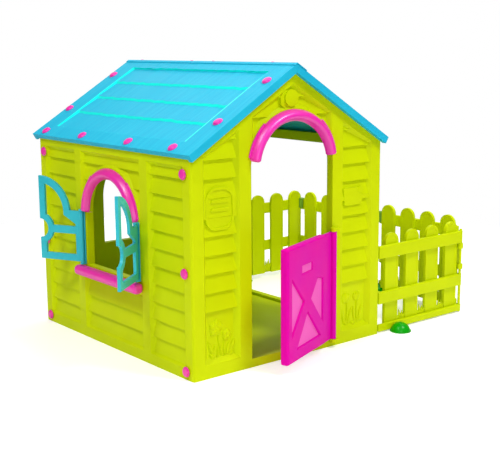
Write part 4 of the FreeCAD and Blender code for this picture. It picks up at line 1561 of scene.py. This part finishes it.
@dataclass
class Garden:
    """The fenced garden beside the house: four panels of pickets."""

    house: House
    far_x: float = 1455.0
    lift: float = 18.0
    gap: float = 2.0

    def build(self) -> None:
        """Builds the four fence panels."""
        picket = Picket().build()
        front = move(self.house.width + self.gap, 0, 0)
        side = move(self.far_x, 0, self.lift)
        rear = move(self.far_x, self.house.length, self.lift) @ turn(180)
        side_rear = self.long_of("fence_side_rear", 1)
        rear_long = self.long_of("fence_rear", 0)
        panels = (
            FencePanel(self.house, "garden_gate_panel", "fence_front", Body.GATE, 500.0, 87.5, 124.0,
                       front, True),
            FencePanel(self.house, "side_fence_front", "fence_side_front", Body.HOUSE, 462.0, 46.0, 117.0,
                       side @ move(0, 30, 0) @ turn(90)),
            FencePanel(self.house, "side_fence_rear", "fence_side_rear", Body.HOUSE, side_rear,
                       (side_rear - 372.0) / 2, 124.0, side @ move(0, 504, 0) @ turn(90)),
            FencePanel(self.house, "rear_fence", "fence_rear", Body.HOUSE, rear_long, 48.0, 122.0, rear),
        )
        for panel in panels:
            panel.build(picket)
        bpy.data.objects.remove(picket)

    def long_of(self, node: str, axis: int) -> float:
        """Returns a CAD node's length along an axis."""
        low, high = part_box(node)
        return round((high[axis] - low[axis]) / MM, 2)


# What stays as the frame has it


def dress_cad_nodes() -> None:
    """Gives every CAD node that still shows the finish of its kind."""
    kinds = (
        ("fence_clip_front", LIME), ("fence_clip", CLIP_GREEN), ("fence_foot", FOOT_GREEN),
        ("door_lug", LIME), ("shutter_hinge", TEAL), ("floor", LIME),
    )
    for name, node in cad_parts.items():
        if node.hide_render:
            continue
        finish = next((f for start, f in kinds if name.startswith(start)), LIME)
        slots = node.material_slots
        for index in range(len(slots)):
            slots[index].link = "OBJECT"
            slots[index].material = PAINTS.get(finish)
        log.info("%s: frame's own shape, %s", name, finish.title)


# Studio


@dataclass
class Studio:
    """Plain pale floor and backdrop, soft lights and the camera."""

    eye: tuple[float, float, float] = (-2.3889, -3.2295, 1.1679)
    heading_deg: float = 39.045
    down_deg: float = 10.423
    roll_deg: float = -0.413
    lens: float = 71.4
    paper: str = "#FFFFFF"
    ambient: float = 0.26
    floor_radius: float = 2.8
    glow: float = 0.28

    def build(self) -> None:
        """Sets up the studio."""
        bpy.context.scene.view_settings.view_transform = "Standard"
        self.add_floor()
        self.add_world()
        self.add_light("key", (1.0, -3.0, 4.6), 1.0, 130.0)
        self.add_light("side", (-2.9, -0.8, 4.5), 1.0, 112.0)
        self.add_light("fill", (-2.8, -4.8, 1.7), 2.6, 58.0)
        self.add_light("back", (2.5, 4.0, 3.5), 3.0, 50.0)
        self.add_light("sky", (2.4, 0.6, 4.3), 2.2, 60.0)
        self.add_camera()

    def add_floor(self) -> None:
        """Adds the floor, a round of white paper."""
        Bench.start()
        bpy.ops.mesh.primitive_circle_add(vertices=96, radius=self.floor_radius, fill_type="NGON")
        floor = bpy.context.object
        floor.name = "studio_floor"
        material = bpy.data.materials.new("matt paper, white")
        material.use_nodes = True
        shader = material.node_tree.nodes["Principled BSDF"]
        shader.inputs["Base Color"].default_value = linear(self.paper)
        shader.inputs["Roughness"].default_value = 0.9
        shader.inputs["Specular IOR Level"].default_value = 0.1
        shader.inputs["Emission Color"].default_value = (1.0, 1.0, 1.0, 1.0)
        tree = material.node_tree
        seen = add_node(tree, "ShaderNodeLightPath", {}).outputs["Is Camera Ray"]
        level = add_node(tree, "ShaderNodeMapRange", {"Value": seen, "To Max": self.glow})
        tree.links.new(level.outputs["Result"], shader.inputs["Emission Strength"])
        floor.data.materials.append(material)

    def add_world(self) -> None:
        """Surrounds the scene with even white light."""
        world = bpy.data.worlds.new("studio")
        world.use_nodes = True
        tree = world.node_tree
        seen = add_node(tree, "ShaderNodeLightPath", {}).outputs["Is Camera Ray"]
        level = add_node(tree, "ShaderNodeMapRange", {"Value": seen, "To Min": self.ambient, "To Max": 1.0})
        ground = tree.nodes["Background"]
        ground.inputs["Color"].default_value = (1.0, 1.0, 1.0, 1.0)
        tree.links.new(level.outputs["Result"], ground.inputs["Strength"])
        bpy.context.scene.world = world

    def add_light(self, name: str, place: Point, size: float, power: float) -> None:
        """Adds a soft square light aimed at the house.

        Args:
            name: The light's name.
            place: Where it hangs, in metres.
            size: Its side in metres.
            power: Its power in watts.
        """
        Bench.start()
        aim = (Vector((0, 0, 0.5)) - Vector(place)).to_track_quat("-Z", "Y").to_euler()
        bpy.ops.object.light_add(type="AREA", location=place, rotation=aim)
        light = bpy.context.object
        light.name = "light_" + name
        light.data.shape = "SQUARE"
        light.data.size = size
        light.data.energy = power

    def add_camera(self) -> None:
        """Adds the camera."""
        yaw, down, roll = (math.radians(a) for a in (self.heading_deg, self.down_deg, self.roll_deg))
        ahead = Vector((math.sin(yaw) * math.cos(down), math.cos(yaw) * math.cos(down), -math.sin(down)))
        level = Vector((math.cos(yaw), -math.sin(yaw), 0))
        up = level.cross(ahead)
        right = level * math.cos(roll) + up * math.sin(roll)
        above = up * math.cos(roll) - level * math.sin(roll)
        turned = Matrix((right, above, -ahead)).transposed().to_4x4()
        Bench.start()
        bpy.ops.object.camera_add()
        camera = bpy.context.object
        camera.name = "camera"
        camera.data.lens = self.lens
        camera.data.sensor_width = 36.0
        camera.data.clip_end = 200.0
        camera.matrix_world = Matrix.Translation(self.eye) @ turned
        bpy.context.scene.camera = camera


def main() -> None:
    """Builds the playhouse piece by piece."""
    logging.basicConfig(level=logging.INFO, format="%(message)s", stream=sys.stdout)
    house = House.from_frame()
    Studio().build()
    walls = DoorWall(house)
    walls.build_front()
    walls.build_rear()
    long_walls = WindowWall(house)
    long_walls.build_window_side()
    long_walls.build_garden_side()
    roof = Roof(house)
    roof.build_panels()
    roof.build_ridge()
    BoltCap(roof).build_all()
    Trims(house).build()
    HalfDoor(house).build()
    Shutter(house, 1, 128.0, Body.NEAR_SHUTTER).build("near_shutter_leaf", "shutter_near")
    Shutter(house, -1, 153.0, Body.FAR_SHUTTER).build("far_shutter_leaf", "shutter_far")
    Garden(house).build()
    dress_cad_nodes()


if __name__ == "__main__":
    main()
